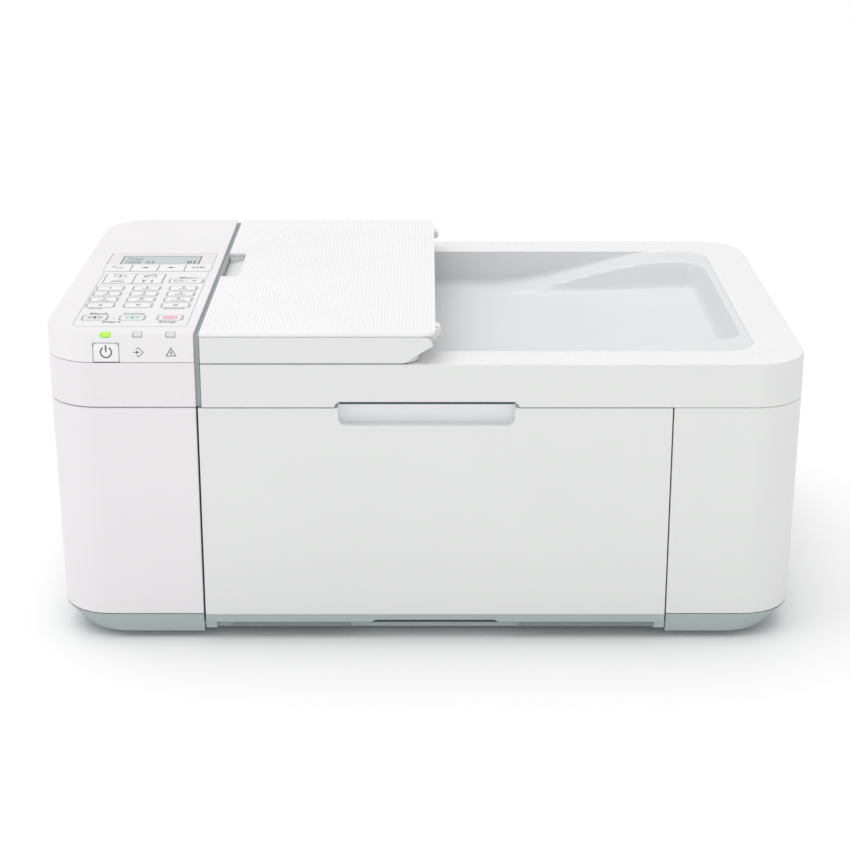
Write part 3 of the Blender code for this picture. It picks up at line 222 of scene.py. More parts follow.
def dimpled(name, color, roughness, pitch):
    """The lid's woven-looking grain: crossed fine waves on the faces that look up."""
    made = moulded(name, color, roughness)
    tree = made.node_tree
    split = add_node(tree, "ShaderNodeSeparateXYZ")
    tree.links.new(place_of(tree), split.inputs["Vector"])
    waves = []
    for axis in ("X", "Y"):
        turns = calculated(tree, "MULTIPLY", split.outputs[axis], 2 * math.pi / pitch)
        waves.append(calculated(tree, "SINE", turns))
    facing = add_node(tree, "ShaderNodeSeparateXYZ")
    normal = add_node(tree, "ShaderNodeNewGeometry")
    tree.links.new(normal.outputs["True Normal"], facing.inputs["Vector"])
    upward = calculated(tree, "GREATER_THAN", facing.outputs["Z"], 0.9)
    weave = calculated(tree, "ADD", waves[0], waves[1])
    grain = calculated(tree, "MULTIPLY", weave, upward)
    add_bump(tree, tree.nodes["Principled BSDF"], grain, 0.8, 0.00009)
    return made


def printed(name, color):
    """Pad-printed ink, a little uneven."""
    made, tree, shader = new_finish(name, color, 0.5)
    vary_color(tree, shader, color, 0.15, noise_of(tree, place_of(tree), 1500.0, 2.0))
    return made


def brushed(name, color, roughness):
    """Zinc-plated sheet with a faint rolled streak along X."""
    made, tree, shader = new_finish(name, color, roughness, 1.0)
    stretch = add_node(tree, "ShaderNodeMapping")
    stretch.inputs["Scale"].default_value = (1.0, 60.0, 60.0)
    tree.links.new(place_of(tree), stretch.inputs["Vector"])
    streak = noise_of(tree, stretch.outputs["Vector"], 12.0, 4.0)
    tree.links.new(ranged(tree, streak, roughness - 0.1, roughness + 0.12), shader.inputs["Roughness"])
    add_bump(tree, shader, streak, 0.1, 0.0001)
    return made


def clear_glass(name):
    """Float glass with faint smears."""
    made, tree, shader = new_finish(name, (0.93, 0.98, 0.97), 0.03)
    shader.inputs["Transmission Weight"].default_value = 1.0
    shader.inputs["IOR"].default_value = 1.5
    smear = noise_of(tree, place_of(tree), 30.0, 3.0)
    tree.links.new(ranged(tree, smear, 0.02, 0.06), shader.inputs["Roughness"])
    return made


def lit(name, color, strength):
    """A light pipe with its lamp on, a little uneven over the window."""
    made, tree, shader = new_finish(name, color, 0.3)
    shader.inputs["Emission Color"].default_value = (*color, 1.0)
    glow = noise_of(tree, place_of(tree), 300.0, 1.0)
    tree.links.new(ranged(tree, glow, strength * 0.8, strength * 1.2), shader.inputs["Emission Strength"])
    return made


MASK_GREEN = (0.02, 0.16, 0.08)


def solder_board(name):
    """Green solder mask with fine copper tracks under it."""
    made, tree, shader = new_finish(name, MASK_GREEN, 0.35)
    tracks = add_node(tree, "ShaderNodeTexBrick")
    tracks.inputs["Scale"].default_value = 160.0
    tracks.inputs["Mortar Size"].default_value = 0.03
    tracks.inputs["Color1"].default_value = (*MASK_GREEN, 1.0)
    tracks.inputs["Color2"].default_value = (0.03, 0.2, 0.1, 1.0)
    tracks.inputs["Mortar"].default_value = (0.1, 0.32, 0.16, 1.0)
    tree.links.new(place_of(tree), tracks.inputs["Vector"])
    tree.links.new(tracks.outputs["Color"], shader.inputs["Base Color"])
    add_bump(tree, shader, tracks.outputs["Fac"], 0.2, 0.00003)
    return made


def floor_paint():
    """White studio paper."""
    made, tree, shader = new_finish("studio_paper", (0.93, 0.93, 0.93), 0.9)
    add_bump(tree, shader, noise_of(tree, place_of(tree), 400.0, 2.0), 0.05, 0.0002)
    return made


# Colour and roughness, then, where they differ, the grain's scale and depth and the drift of gloss and tone.
SHELL = moulded("shell_moulding", (0.755, 0.765, 0.755), 0.42)
PANEL = moulded("panel_moulding", (0.83, 0.815, 0.825), 0.4)
# The lid's rim is a lighter copy of the shell white: painted light on the faces that look up, with the lid's
# real woven grain.
LID_TOP_LIT = dimpled("lid_top_painted_light", (0.875, 0.865, 0.87), 0.5, 0.0012)
PLATE = moulded("plate_moulding", (0.86, 0.85, 0.855), 0.5)
CATCH = moulded("catch_tray_moulding", (0.735, 0.742, 0.75), 0.36)
BASE = moulded("base_moulding", (0.40, 0.455, 0.46), 0.45)
KEYCAP = moulded("key_moulding", (0.86, 0.85, 0.855), 0.38)
DARK = moulded("dark_moulding", (0.055, 0.06, 0.065), 0.5, 1800.0, 0.00004)
BLACK = moulded("black_moulding", (0.02, 0.02, 0.022), 0.45, 1800.0, 0.00004)
RUBBER = moulded("ground_rubber", (0.03, 0.03, 0.032), 0.8, 3000.0, 0.00006, 0.06, 0.15)
FOAM = moulded("white_film", (0.86, 0.86, 0.85), 0.55, 900.0, 0.00005)
STEEL = brushed("zinc_plate", (0.62, 0.63, 0.65), 0.36)
GLASS = clear_glass("float_glass")
BOARD = solder_board("solder_mask")
INK = printed("legend_ink", (0.09, 0.11, 0.12))
LINE_INK = printed("outline_ink", (0.33, 0.38, 0.385))
GREEN_INK = printed("start_ink", (0.05, 0.55, 0.33))
RED_INK = printed("stop_ink", (0.85, 0.06, 0.22))
LCD = moulded("lcd_film", (0.56, 0.60, 0.615), 0.22, 4000.0, 0.000005)
LCD_FRAME = moulded("lcd_frame_film", (0.83, 0.80, 0.82), 0.22, 4000.0, 0.000005)
LAMP_ON = lit("lamp_on", (0.25, 0.95, 0.03), 1.3)
# Painted glow: the green light of the lit lamp on the edges round its window, laid as flat colour.
LAMP_GLOW = printed("lamp_painted_glow", (0.1, 0.5, 0.02))
LCD_INK = printed("lcd_ink", (0.16, 0.19, 0.2))
LAMP_OFF = moulded("lamp_off", (0.72, 0.74, 0.745), 0.25, 4000.0, 0.00001)
# Painted light: a lighter copy of the white for the front door's finger cup, which catches more light.
CUP_LIT = moulded("cup_painted_light", (0.90, 0.915, 0.92), 0.4)
LEFT_SHELL = moulded("left_moulding", (0.80, 0.775, 0.795), 0.42)
# Painted shade: a dark colour laid where only shadow falls, under the door's toe and in the rear air vents.
SHADE = moulded("painted_shade_moulding", (0.20, 0.235, 0.24), 0.6, 2400.0, 0.00003)
# Painted gap shade: a mid-grey filler that stands for the half-lit gap between the panel and the lid.
GAP_SHADE = moulded("gap_painted_shade", (0.33, 0.37, 0.375), 0.6, 3000.0, 0.00003)
# Painted shade: near-black strips set in the seams, where shadow falls between parts.
SEAM_SHADE = moulded("seam_painted_shade", (0.06, 0.075, 0.08), 0.7, 3000.0, 0.00003)
CYAN = moulded("label_cyan", (0.05, 0.5, 0.75), 0.4)
MAGENTA = moulded("label_magenta", (0.75, 0.08, 0.4), 0.4)
YELLOW = moulded("label_yellow", (0.9, 0.75, 0.08), 0.4)


# ---------------------------------------------------------------- making pieces


def piece(name, mesh, finishes, body, slot=None):
    """A visible piece made of a finished mesh, riding on a body."""
    made = new_object(name, mesh)
    if not mesh.materials:
        for finish in finishes if isinstance(finishes, (list, tuple)) else [finishes]:
            mesh.materials.append(finish)
    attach(made, body)
    return made


def baked(obj, name):
    """The evaluated mesh of an object, which is then removed."""
    graph = bpy.context.evaluated_depsgraph_get()
    mesh = bpy.data.meshes.new_from_object(obj.evaluated_get(graph))
    mesh.name = name
    mesh.transform(obj.matrix_world)
    bpy.data.objects.remove(obj)
    return mesh


CORNER_MERGE = 2e-6
FLAT_TURN = math.radians(0.4)
EDGE_TURN = math.radians(28)


def solid_of(node, whole_faces=True):
    """The node's solid with its corners merged and, if asked, its triangles joined into whole faces."""
    shape = bmesh.new()
    shape.from_mesh(frame["nodes"][node].data)
    bmesh.ops.remove_doubles(shape, verts=shape.verts, dist=CORNER_MERGE)
    for face in shape.faces:
        face.material_index = 0
    if whole_faces:
        bmesh.ops.dissolve_limit(shape, angle_limit=FLAT_TURN, verts=shape.verts, edges=shape.edges)
    return shape


def mesh_of(shape, name):
    mesh = bpy.data.meshes.new(name)
    shape.to_mesh(mesh)
    shape.free()
    return mesh


def rounded_look(mesh, name, width, segments=3, by_weight=False):
    """The mesh with moulded edges of that radius and shading that keeps its flat faces flat."""
    mesh.shade_smooth()
    obj = new_object(name + "_work", mesh)
    edge = obj.modifiers.new("soft_edges", "BEVEL")
    edge.width = width * MM
    edge.segments = segments
    edge.limit_method = "WEIGHT" if by_weight else "ANGLE"
    edge.angle_limit = EDGE_TURN
    edge.use_clamp_overlap = True
    edge.miter_outer = "MITER_ARC"
    shading = obj.modifiers.new("flat_faces", "WEIGHTED_NORMAL")
    shading.weight = 60
    shading.keep_sharp = True
    return baked(obj, name)


def weigh_edges(shape, chosen):
    """Marks the edges that the bevel takes."""
    layer = shape.edges.layers.float.new("bevel_weight_edge")
    for edge in shape.edges:
        if chosen(edge):
            edge[layer] = 1.0


def split_sharp(shape):
    """Keeps shading crisp across the edges that turn by more than a little."""
    for edge in shape.edges:
        if len(edge.link_faces) == 2 and edge.calc_face_angle(0.0) > EDGE_TURN:
            edge.smooth = False


def stand_for(node, mesh, finishes, slot):
    """The visible piece that takes the place of a node's plain solid."""
    made = piece(node + "_look", mesh, finishes, BODY_OF[node], slot)
    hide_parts(node)


def stand_rounded(node, shape, width, finishes, slot, by_weight=False):
    """A shape with moulded, rounded edges, standing for the node."""
    mesh = rounded_look(mesh_of(shape, node + "_solid"), node + "_look", width, by_weight=by_weight)
    stand_for(node, mesh, finishes, slot)


def soften(node, width, finish, slot):
    """The node's own shape with moulded, rounded edges, standing for the node."""
    stand_rounded(node, solid_of(node), width, finish, slot)


def bar_shape(size, name="bar_shape"):
    """A small block about the origin, with its upper edges chamfered, for rows of ribs and of vent shade
    bars.
    """
    x, y, z = (value * MM / 2 for value in size)
    inset = min(x, y, z) * 0.5
    rings = [(x, y, -z), (x, y, z - inset), (x - inset, y - inset, z)]
    shape = bmesh.new()
    loops = []
    for half_x, half_y, height in rings:
        corners = [(-half_x, -half_y), (half_x, -half_y), (half_x, half_y), (-half_x, half_y)]
        loops.append([shape.verts.new((cx, cy, height)) for cx, cy in corners])
    close_rings(shape, loops)
    return mesh_of(shape, name)


def band(shape, low, high, finish=0, smooth=False):
    """Faces between two rings of corners."""
    for i in range(len(low)):
        j = (i + 1) % len(low)
        face = shape.faces.new((low[i], low[j], high[j], high[i]))
        face.material_index = finish
        face.smooth = smooth


def close_rings(shape, loops):
    """Faces between the loops, one after another, and caps on the first and the last."""
    for low, high in zip(loops, loops[1:]):
        band(shape, low, high)
    shape.faces.new(list(reversed(loops[0])))
    shape.faces.new(loops[-1])


def boxes_mesh(boxes, name, width=0.2):
    """Several separate rounded blocks, (low corner, high corner) in mm, as one mesh."""
    shape = bmesh.new()
    for low, high in boxes:
        for vert in bmesh.ops.create_cube(shape, size=1.0)["verts"]:
            place = [(low[k] + high[k]) / 2 + vert.co[k] * (high[k] - low[k]) for k in range(3)]
            vert.co = Vector(place) * MM
    return rounded_look(mesh_of(shape, name + "_solid"), name, width, 2)


# ---------------------------------------------------------------- rows made by geometry nodes


ROW_INPUTS = {
    "Shape": "NodeSocketObject",
    "Count": "NodeSocketInt",
    "Start": "NodeSocketVector",
    "Step": "NodeSocketVector",
    "Rows": "NodeSocketInt",
    "Row step": "NodeSocketVector",
    "Finish": "NodeSocketMaterial",
}


def copies_tree():
    """Rows of copies of a shape, each one step from the last, made real and given their finish."""
    tree = bpy.data.node_groups.new("row_of_copies", "GeometryNodeTree")
    sockets = {}
    for name, kind in ROW_INPUTS.items():
        sockets[name] = tree.interface.new_socket(name, in_out="INPUT", socket_type=kind).identifier
    tree.interface.new_socket("Geometry", in_out="OUTPUT", socket_type="NodeSocketGeometry")
    given = add_node(tree, "NodeGroupInput")
    column = add_node(tree, "GeometryNodeMeshLine")
    line = add_node(tree, "GeometryNodeMeshLine")
    info = add_node(tree, "GeometryNodeObjectInfo")
    rows = add_node(tree, "GeometryNodeInstanceOnPoints")
    placed = add_node(tree, "GeometryNodeInstanceOnPoints")
    spread = add_node(tree, "GeometryNodeRealizeInstances")
    realize = add_node(tree, "GeometryNodeRealizeInstances")
    paint = add_node(tree, "GeometryNodeSetMaterial")
    result = add_node(tree, "NodeGroupOutput")
    for start, output, end, entry in (
        (given, "Rows", column, "Count"),
        (given, "Row step", column, "Offset"),
        (given, "Count", line, "Count"),
        (given, "Start", line, "Start Location"),
        (given, "Step", line, "Offset"),
        (column, "Mesh", rows, "Points"),
        (line, "Mesh", rows, "Instance"),
        (rows, "Instances", spread, "Geometry"),
        (spread, "Geometry", placed, "Points"),
        (given, "Shape", info, "Object"),
        (info, "Geometry", placed, "Instance"),
        (placed, "Instances", realize, "Geometry"),
        (realize, "Geometry", paint, "Geometry"),
        (given, "Finish", paint, "Material"),
        (paint, "Geometry", result, "Geometry"),
    ):
        tree.links.new(start.outputs[output], end.inputs[entry])
    return tree, sockets


COPIES, COPY_INPUTS = copies_tree()


def row(name, shape, start, step, count, finish, body, rows=1, row_step=(0, 0, 0)):
    """A row, or a grid, of copies of a shape as one mesh: start and step are in mm."""
    source = new_object(name + "_shape", shape)
    holder = new_object(name + "_work", bpy.data.meshes.new(name + "_empty"))
    copies = holder.modifiers.new("copies", "NODES")
    copies.node_group = COPIES
    given = {
        "Shape": source,
        "Count": count,
        "Start": [value * MM for value in start],
        "Step": [value * MM for value in step],
        "Rows": rows,
        "Row step": [value * MM for value in row_step],
        "Finish": finish,
    }
    for key, value in given.items():
        copies[COPY_INPUTS[key]] = value
    bpy.context.view_layer.update()
    mesh = baked(holder, name)
    bpy.data.objects.remove(source)
    piece(name, mesh, finish, body)


# ---------------------------------------------------------------- printing


def rounded_points(x0, x1, y0, y1, radii, steps=5):
    """A rectangle's outline, counter-clockwise from its lower left, with its own radius at each corner."""
    corners = [(x0, y0, 180), (x1, y0, 270), (x1, y1, 0), (x0, y1, 90)]
    points = []
    for (x, y, turn), radius in zip(corners, radii):
        if radius <= 0:
            points.append((x, y))
            continue
        cx = x + radius if x == x0 else x - radius
        cy = y + radius if y == y0 else y - radius
        for i in range(steps + 1):
            angle = math.radians(turn + 90 * i / steps)
            points.append((cx + radius * math.cos(angle), cy + radius * math.sin(angle)))
    return points


def arc(cx, cy, radius, start, end, steps=16):
    """Points along an arc, between two angles in degrees."""
    turns = [math.radians(start + (end - start) * i / steps) for i in range(steps + 1)]
    return [(cx + radius * math.cos(t), cy + radius * math.sin(t)) for t in turns]


def box_path(x0, x1, y0, y1):
    """A rectangle's corners, counter-clockwise."""
    return [(x0, y0), (x1, y0), (x1, y1), (x0, y1)]


class Print:
    """Flat ink: shapes gathered in a plane in mm about an origin, each in one of several inks."""

    def __init__(self):
        self.origin = (0.0, 0.0)
        self.points = []
        self.faces = []
        self.inks = []

    def add(self, points, faces, ink):
        base = len(self.points)
        self.points += [(x + self.origin[0], y + self.origin[1]) for x, y in points]
        self.faces += [[base + i for i in face] for face in faces]
        self.inks += [ink] * len(faces)

    def area(self, outline, ink=0):
        self.add(outline, [list(range(len(outline)))], ink)

    def stroke(self, path, width, ink=0, closed=False):
        """A line of even width with mitred corners."""
        count = len(path)
        points = []
        for i, here in enumerate(path):
            before = path[i - 1] if closed or i > 0 else here
            after = path[(i + 1) % count] if closed or i < count - 1 else here
            along = []
            for a, b in ((before, here), (here, after)):
                step = Vector((b[0] - a[0], b[1] - a[1]))
                if step.length > 1e-9:
                    along.append(step.normalized())
            bend = sum(along, Vector((0, 0)))
            bend = bend.normalized() if bend.length > 1e-6 else along[0]
            stretch = 1 / max(bend.dot(along[0]), 0.5)
            side = Vector((-bend.y, bend.x)) * (width / 2 * stretch)
            points.append((here[0] - side.x, here[1] - side.y))
            points.append((here[0] + side.x, here[1] + side.y))
        faces = []
        for i in range(count if closed else count - 1):
            a, b = 2 * i, 2 * ((i + 1) % count)
            faces.append([a, b, b + 1, a + 1])
        self.add(points, faces, ink)

    def disc(self, x, y, radius, ink=0):
        self.area(arc(x, y, radius, 0, 345, 23), ink)

    def text(self, words, size, x, y, ink=0, align="CENTER", bold=0.0, squeeze=1.0):
        """Lettering, its middle line at y."""
        curve = bpy.data.curves.new("legend", "FONT")
        curve.body = words
        curve.size = size
        curve.align_x = align
        curve.align_y = "CENTER"
        curve.offset = bold
        curve.resolution_u = 3
        holder = new_object("legend", curve)
        mesh = baked(holder, "legend")
        places = [(vert.co.x * squeeze + x, vert.co.y + y) for vert in mesh.vertices]
        self.add(places, [list(face.vertices) for face in mesh.polygons], ink)
        bpy.data.meshes.remove(mesh)

    def mesh(self, name, place):
        """The ink as a mesh; place turns a point of the plane into one of the object, in mm."""
        mesh = bpy.data.meshes.new(name)
        mesh.from_pydata([tuple(c * MM for c in place(u, v)) for u, v in self.points], [], self.faces)
        mesh.polygons.foreach_set("material_index", self.inks)
        return mesh

    def lay(self, name, place, finishes, body, slot=None):
        """The ink as a visible piece."""
        piece(name, self.mesh(name, place), finishes, body, slot)


def joined(first, second, name):
    """Two meshes as one, the second one's finishes numbered after the first one's."""
    shape = bmesh.new()
    shape.from_mesh(first)
    before = len(shape.faces)
    shape.from_mesh(second)
    shape.faces.ensure_lookup_table()
    for face in shape.faces[before:]:
        face.material_index += 1
        face.smooth = False
    return mesh_of(shape, name)


# ---------------------------------------------------------------- the outer case

LEFT = box_mm("left_side_cover")[0].x
FRONT = box_mm("document_cover")[0].y
TOP = box_mm("operation_panel")[1].z
PANEL_RIGHT = box_mm("operation_panel")[1].x
CASE_CORNER = 31.0


def make_covers():
    """The case's plain mouldings: white, a warmer white on the left, and the grey base."""
    for node, width, finish, slot in (
        ("right_side_cover", 0.7, SHELL, "shell_white"),
        ("transport_cover", 0.5, SHELL, "shell_white"),
        ("scanner_housing", 0.3, SHELL, "shell_white"),
        ("left_side_cover", 0.7, LEFT_SHELL, "shell_white"),
        ("left_upper_cover", 0.7, LEFT_SHELL, "shell_white"),
        ("base_tray", 0.5, BASE, "grey_base"),
    ):
        soften(node, width, finish, slot)


GREY_BAND = 9.3
CUP_HALF_WIDTH = 51.0
CUP_DEPTH = 13.0
TOE_SLOPE = 0.174


def make_front_cover():
    """The front door, white above and grey along its bottom edge, with its finger cup painted lighter for
    the light that falls into it.
    """
    low, high = box_mm("front_cover")
    edge = low.z + GREY_BAND
    shape = solid_of("front_cover")
    bmesh.ops.bisect_plane(
        shape,
        geom=list(shape.verts) + list(shape.edges) + list(shape.faces),
        plane_co=(0, 0, edge * MM),
        plane_no=(0, 0, 1),
    )
    for face in shape.faces:
        middle = face.calc_center_median() / MM
        above = middle.z > high.z - CUP_DEPTH
        in_cup = above and abs(middle.x) < CUP_HALF_WIDTH and FRONT + 0.3 < middle.y < high.y - 1.8
        # The cup's faces take the lighter copy of the white: painted light.
        face.material_index = 1 if middle.z < edge else 2 if in_cup else 0
    stand_rounded("front_cover", shape, 0.6, [SHELL, BASE, CUP_LIT], "shell_white")
    # Painted shade: dark strips under the door's toe, where its shadow falls, which lean back as the toe
    # does.
    shades = Print()
    for x0, x1 in ((low.x + 18.0, -44.0), (54.0, high.x - 8.0)):
        shades.area([(x0, 7.4), (x1, 7.4), (x1 - 1.0, 10.3), (x0 + 1.0, 10.3)])
    shades.lay("toe_shade", lambda u, v: (u, FRONT + 1.75 - (v - 5.2) * TOE_SLOPE, v), SHADE, "case")


def on_outline(vert, node, end, small_corner=0.0):
    """Whether a point is on the node's outline in plan, which has big round corners at one end, -1 or 1."""
    low, high = box_mm(node)
    x, y = vert.co.x / MM, vert.co.y / MM
    to_front_or_back = min(y - low.y, high.y - y)
    if min(x - low.x, high.x - x, to_front_or_back) < 0.05:
        return True
    plain_x, centre_x = (high.x, low.x + CASE_CORNER) if end < 0 else (low.x, high.x - CASE_CORNER)
    if abs(x - plain_x) < small_corner and to_front_or_back < small_corner:
        return True
    for centre_y, side in ((low.y + CASE_CORNER, -1), (high.y - CASE_CORNER, 1)):
        beyond = (x - centre_x) * end > 0 and (y - centre_y) * side > 0
        if beyond and abs(math.hypot(x - centre_x, y - centre_y) - CASE_CORNER) < 0.2:
            return True
    return False


def sink_front(shape):
    """Draws the front face back by a hair, so that ink on it stays within the case."""
    for vert in shape.verts:
        if vert.co.y < (FRONT + 0.03) * MM:
            vert.co.y = (FRONT + 0.05) * MM


def make_panel():
    """The operation panel: its outer edges rounded, its key holes left crisp."""
    low, high = box_mm("operation_panel")
    shape = solid_of("operation_panel", whole_faces=False)

    def outer(edge):
        if len(edge.link_faces) != 2 or edge.calc_face_angle(0.0) < math.radians(60):
            return False
        heights = [vert.co.z / MM for vert in edge.verts]
        level = any(all(abs(z - face_z) < 0.02 for z in heights) for face_z in (low.z, high.z))
        upright = abs(heights[0] - heights[1]) > 1.0
        return (level or upright) and all(on_outline(vert, "operation_panel", -1) for vert in edge.verts)

    weigh_edges(shape, outer)
    split_sharp(shape)
    sink_front(shape)
    stand_rounded("operation_panel", shape, 0.9, PANEL, "panel_white", by_weight=True)


def ring_mesh(outline, inner, low, high, name):
    """A closed band between two outlines in mm, standing between two heights."""
    shape = bmesh.new()
    loops = [
        [shape.verts.new((x * MM, y * MM, z * MM)) for x, y in points]
        for points, z in ((outline, low), (outline, high), (inner, high), (inner, low))
    ]
    for start, end in zip(loops, loops[1:] + loops[:1]):
        band(shape, start, end)
    return mesh_of(shape, name)


def make_seams():
    """Painted shade in the case's joints: a dark strip in the seam under the operation panel, mid-grey
    fillers for the half-lit gaps beside the lid and the door, and dark strips in the lid's seams.
    """
    low, high = box_mm("operation_panel")
    lid_low, lid_high = box_mm("document_cover")
    door_low, door_high = box_mm("front_cover")
    tray_low, tray_high = box_mm("document_tray")
    outlines = []
    for inset, big, small in ((0.4, 30.6, 0.6), (1.4, 29.6, 0.4)):
        radii = (big, small, small, big)
        sides = (low.x + inset, high.x - inset, FRONT + inset, high.y - inset)
        outlines.append(rounded_points(*sides, radii, 12))
    # Painted shade: a dark strip in the seam under the panel.
    piece("panel_gasket", ring_mesh(*outlines, low.z - 0.85, low.z + 0.45, "panel_gasket"), SEAM_SHADE, "case")

    start = PANEL_RIGHT + 0.05
    # Painted shade and light: mid-grey fillers set into the gaps beside the lid and the door, for how the
    # half-lit gaps look.
    gap_fill = ((start, FRONT + 1.6, lid_low.z + 0.1), (lid_low.x - 0.25, high.y - 0.5, TOP - 2.2))
    piece("lid_seal", boxes_mesh([gap_fill], "lid_seal"), GAP_SHADE, "case")
    gap_fill = ((start, FRONT + 0.25, 17.0), (door_low.x - 0.12, FRONT + 8.0, lid_low.z - 0.6))
    piece("door_seal", boxes_mesh([gap_fill], "door_seal"), BASE, "case")

    above_door, under_lid = door_high.z + 0.1, lid_low.z - 0.05
    deck = tray_high.z - 1.8
    strip_low = box_mm("adf_frame")[0].z
    # Left and right, near and far behind the front, low and high, of each dark strip of painted seam shade.
    seams = [
        (lid_low.x + 1, -53.4, 0.9, 1.9, above_door, under_lid),
        (53.4, door_high.x - 1, 0.9, 1.9, above_door, under_lid),
        (-50.0, 50.0, 0.7, 2.6, lid_low.z + 1.7, lid_low.z + 3.25),
        (lid_low.x + 1, tray_high.x - 19.0, 0.8, 2.0, lid_high.z + 0.03, strip_low - 0.03),
        (tray_low.x + 1, tray_high.x - 9, 0.6, 1.8, deck - 0.29, deck - 0.02),
    ]
    blocks = [((x0, FRONT + y0, z0), (x1, FRONT + y1, z1)) for x0, x1, y0, y1, z0, z1 in seams]
    piece("lid_seams", boxes_mesh(blocks, "lid_seams", 0.02), SEAM_SHADE, "lid")

    left, under = tray_low.x, tray_high.z - 2.1
    walls = [
        (left + 1.0, NOTCH_HIGH + 0.05, NOTCH_HIGH + 1.2),
        (left + NOTCH_DEPTH + 0.2, NOTCH_LOW, NOTCH_HIGH + 0.5),
        (left + 1.0, NOTCH_LOW - 1.2, NOTCH_LOW - 0.05),
    ]
    blocks = [((x0, y0, under - 8.0), (left + NOTCH_DEPTH + 1.4, y1, under)) for x0, y0, y1 in walls]
    piece("notch_lining", boxes_mesh(blocks, "notch_lining"), SHELL, "lid")


# ---------------------------------------------------------------- the keypad

LETTER_GROUPS = ("ABC", "DEF", "GHI", "JKL", "MNO", "PQRS", "TUV", "WXYZ")
INK_LIFT = 0.04


def key_centre(node):
    low, high = box_mm(node)
    return (low.x + high.x) / 2, (low.y + high.y) / 2, high.z


# Which way each key of the mode block lies from the block's middle.
MODE_KEYS = {"copy": (-1, 1), "fax": (1, 1), "scan": (-1, -1), "tools": (1, -1)}
PLAIN_KEYS = ("back", "left", "right", "ok")

# Words on a key: the words, size, height above its centre, boldness and width.
KEY_WORDS = {
    "1": [("1", 4.6, 0.0, 0.06, 1.25)],
    "0": [("0", 4.6, 0.0, 0.06, 1.25)],
    "hash": [("#", 4.4, 0.0, 0.05, 1.2)],
    "ok": [("OK", 5.2, 0.0, 0.1, 1.15)],
}
for digit, letters in enumerate(LETTER_GROUPS, 2):
    KEY_WORDS[str(digit)] = [(str(digit), 4.4, 1.7, 0.04, 1.05), (letters, 2.7, -2.1, 0.03, 1.05)]

ARROW = [(-2.6, 0.0), (1.8, -1.9), (1.8, 1.9)]
START_BAR = box_path(-0.8, 0.8, -2.4, 2.4)
START_WINGS = [
    ([(-1.4, 1.9), (-4.2, 0.0), (-1.4, -1.9)], 0.85, False),
    ([(1.4, 1.9), (4.2, 0.0), (1.4, -1.9)], 0.85, False),
]

# Filled shapes on a key, about its centre.
KEY_AREAS = {
    "left": [ARROW],
    "right": [[(-x, -y) for x, y in ARROW]],
    "back": [[(-4.6, 1.6), (-2.2, 0.3), (-2.2, 2.9)]],
    "fax": [box_path(-3.2, -2.0, -1.4, 0.2)],
    "menu": [arc(4.8, -1.4, 0.45, 0, 345, 23)],
    "start_black": [START_BAR],
    "start_colour": [START_BAR],
}

# Lines on a key, about its centre: the path, its width, and whether it closes.
KEY_LINES = {
    "back": [
        ([(-3.0, 1.6), (1.2, 1.6), *arc(1.2, -0.2, 1.8, 90, -90, 8)], 0.55, False),
        ([(1.2, -2.0), (-1.6, -2.0)], 0.55, False),
    ],
    "copy": [
        (rounded_points(-3.6, 0.2, -1.4, 3.2, (0.3,) * 4, 2), 0.45, True),
        (rounded_points(-0.2, 3.6, -3.2, 1.4, (0.3,) * 4, 2), 0.45, True),
    ],
    "fax": [
        (rounded_points(-3.8, 3.8, -2.4, 0.9, (0.4,) * 4, 2), 0.5, True),
        ([(-1.6, 0.9), (-1.6, 2.9), (3.0, 2.9), (3.0, 0.9)], 0.45, False),
    ],
    "scan": [
        (box_path(-4.0, 4.0, -2.2, -0.9), 0.45, True),
        ([(-3.4, -0.2), (3.4, 2.8)], 0.55, False),
    ],
    "tools": [
        ([(-2.6, -2.4), (-2.6, 1.0)], 0.9, False),
        (arc(-2.6, 2.0, 1.1, 120, 420, 12), 0.6, False),
        ([(2.4, -2.4), (2.4, 0.2)], 1.3, False),
        ([(2.4, 0.2), (2.4, 2.9)], 0.5, False),
    ],
    "menu": [
        (rounded_points(-7.4, -2.2, -2.0, 2.0, (0.4,) * 4, 2), 0.4, True),
        ([(-7.4, 0.0), (-2.2, 0.0)], 0.4, False),
        ([(-0.9, -2.2), (0.9, 2.2)], 0.4, False),
        (arc(4.8, -1.4, 1.2, 35, 145, 8), 0.45, False),
        (arc(4.8, -1.4, 2.4, 35, 145, 8), 0.45, False),
    ],
    "start_black": START_WINGS,
    "start_colour": START_WINGS,
    "stop": [
        ([(x * 3.9, y * 2.5) for x, y in arc(0, 0, 1, 0, 342, 19)], 0.9, True),
        ([(-2.2, 1.2), (2.2, -1.2)], 0.9, False),
    ],
    "star": [
        ([(-x * 1.5, -y * 1.5), (x * 1.5, y * 1.5)], 0.5, False) for x, y in arc(0, 0, 1, 0, 120, 2)
    ],
}


def key_edges(art, node, name):
    """The fine line inside a key's edge; the keys of the mode block have it on their outer sides only."""
    if name in PLAIN_KEYS:
        return
    low, high = box_mm(node)
    x0, x1, y0, y1 = low.x + 0.38, high.x - 0.38, low.y + 0.38, high.y - 0.38
    if name not in MODE_KEYS:
        art.stroke(rounded_points(x0, x1, y0, y1, (1.9,) * 4, 4), 0.42, 3, True)
        return
    right, up = MODE_KEYS[name]
    outer_x, inner_x = (x1, x0 - 0.6) if right > 0 else (x0, x1 + 0.6)
    outer_y, inner_y = (y1, y0 - 0.6) if up > 0 else (y0, y1 + 0.6)
    art.stroke([(outer_x, inner_y), (outer_x, outer_y), (inner_x, outer_y)], 0.5, 3)


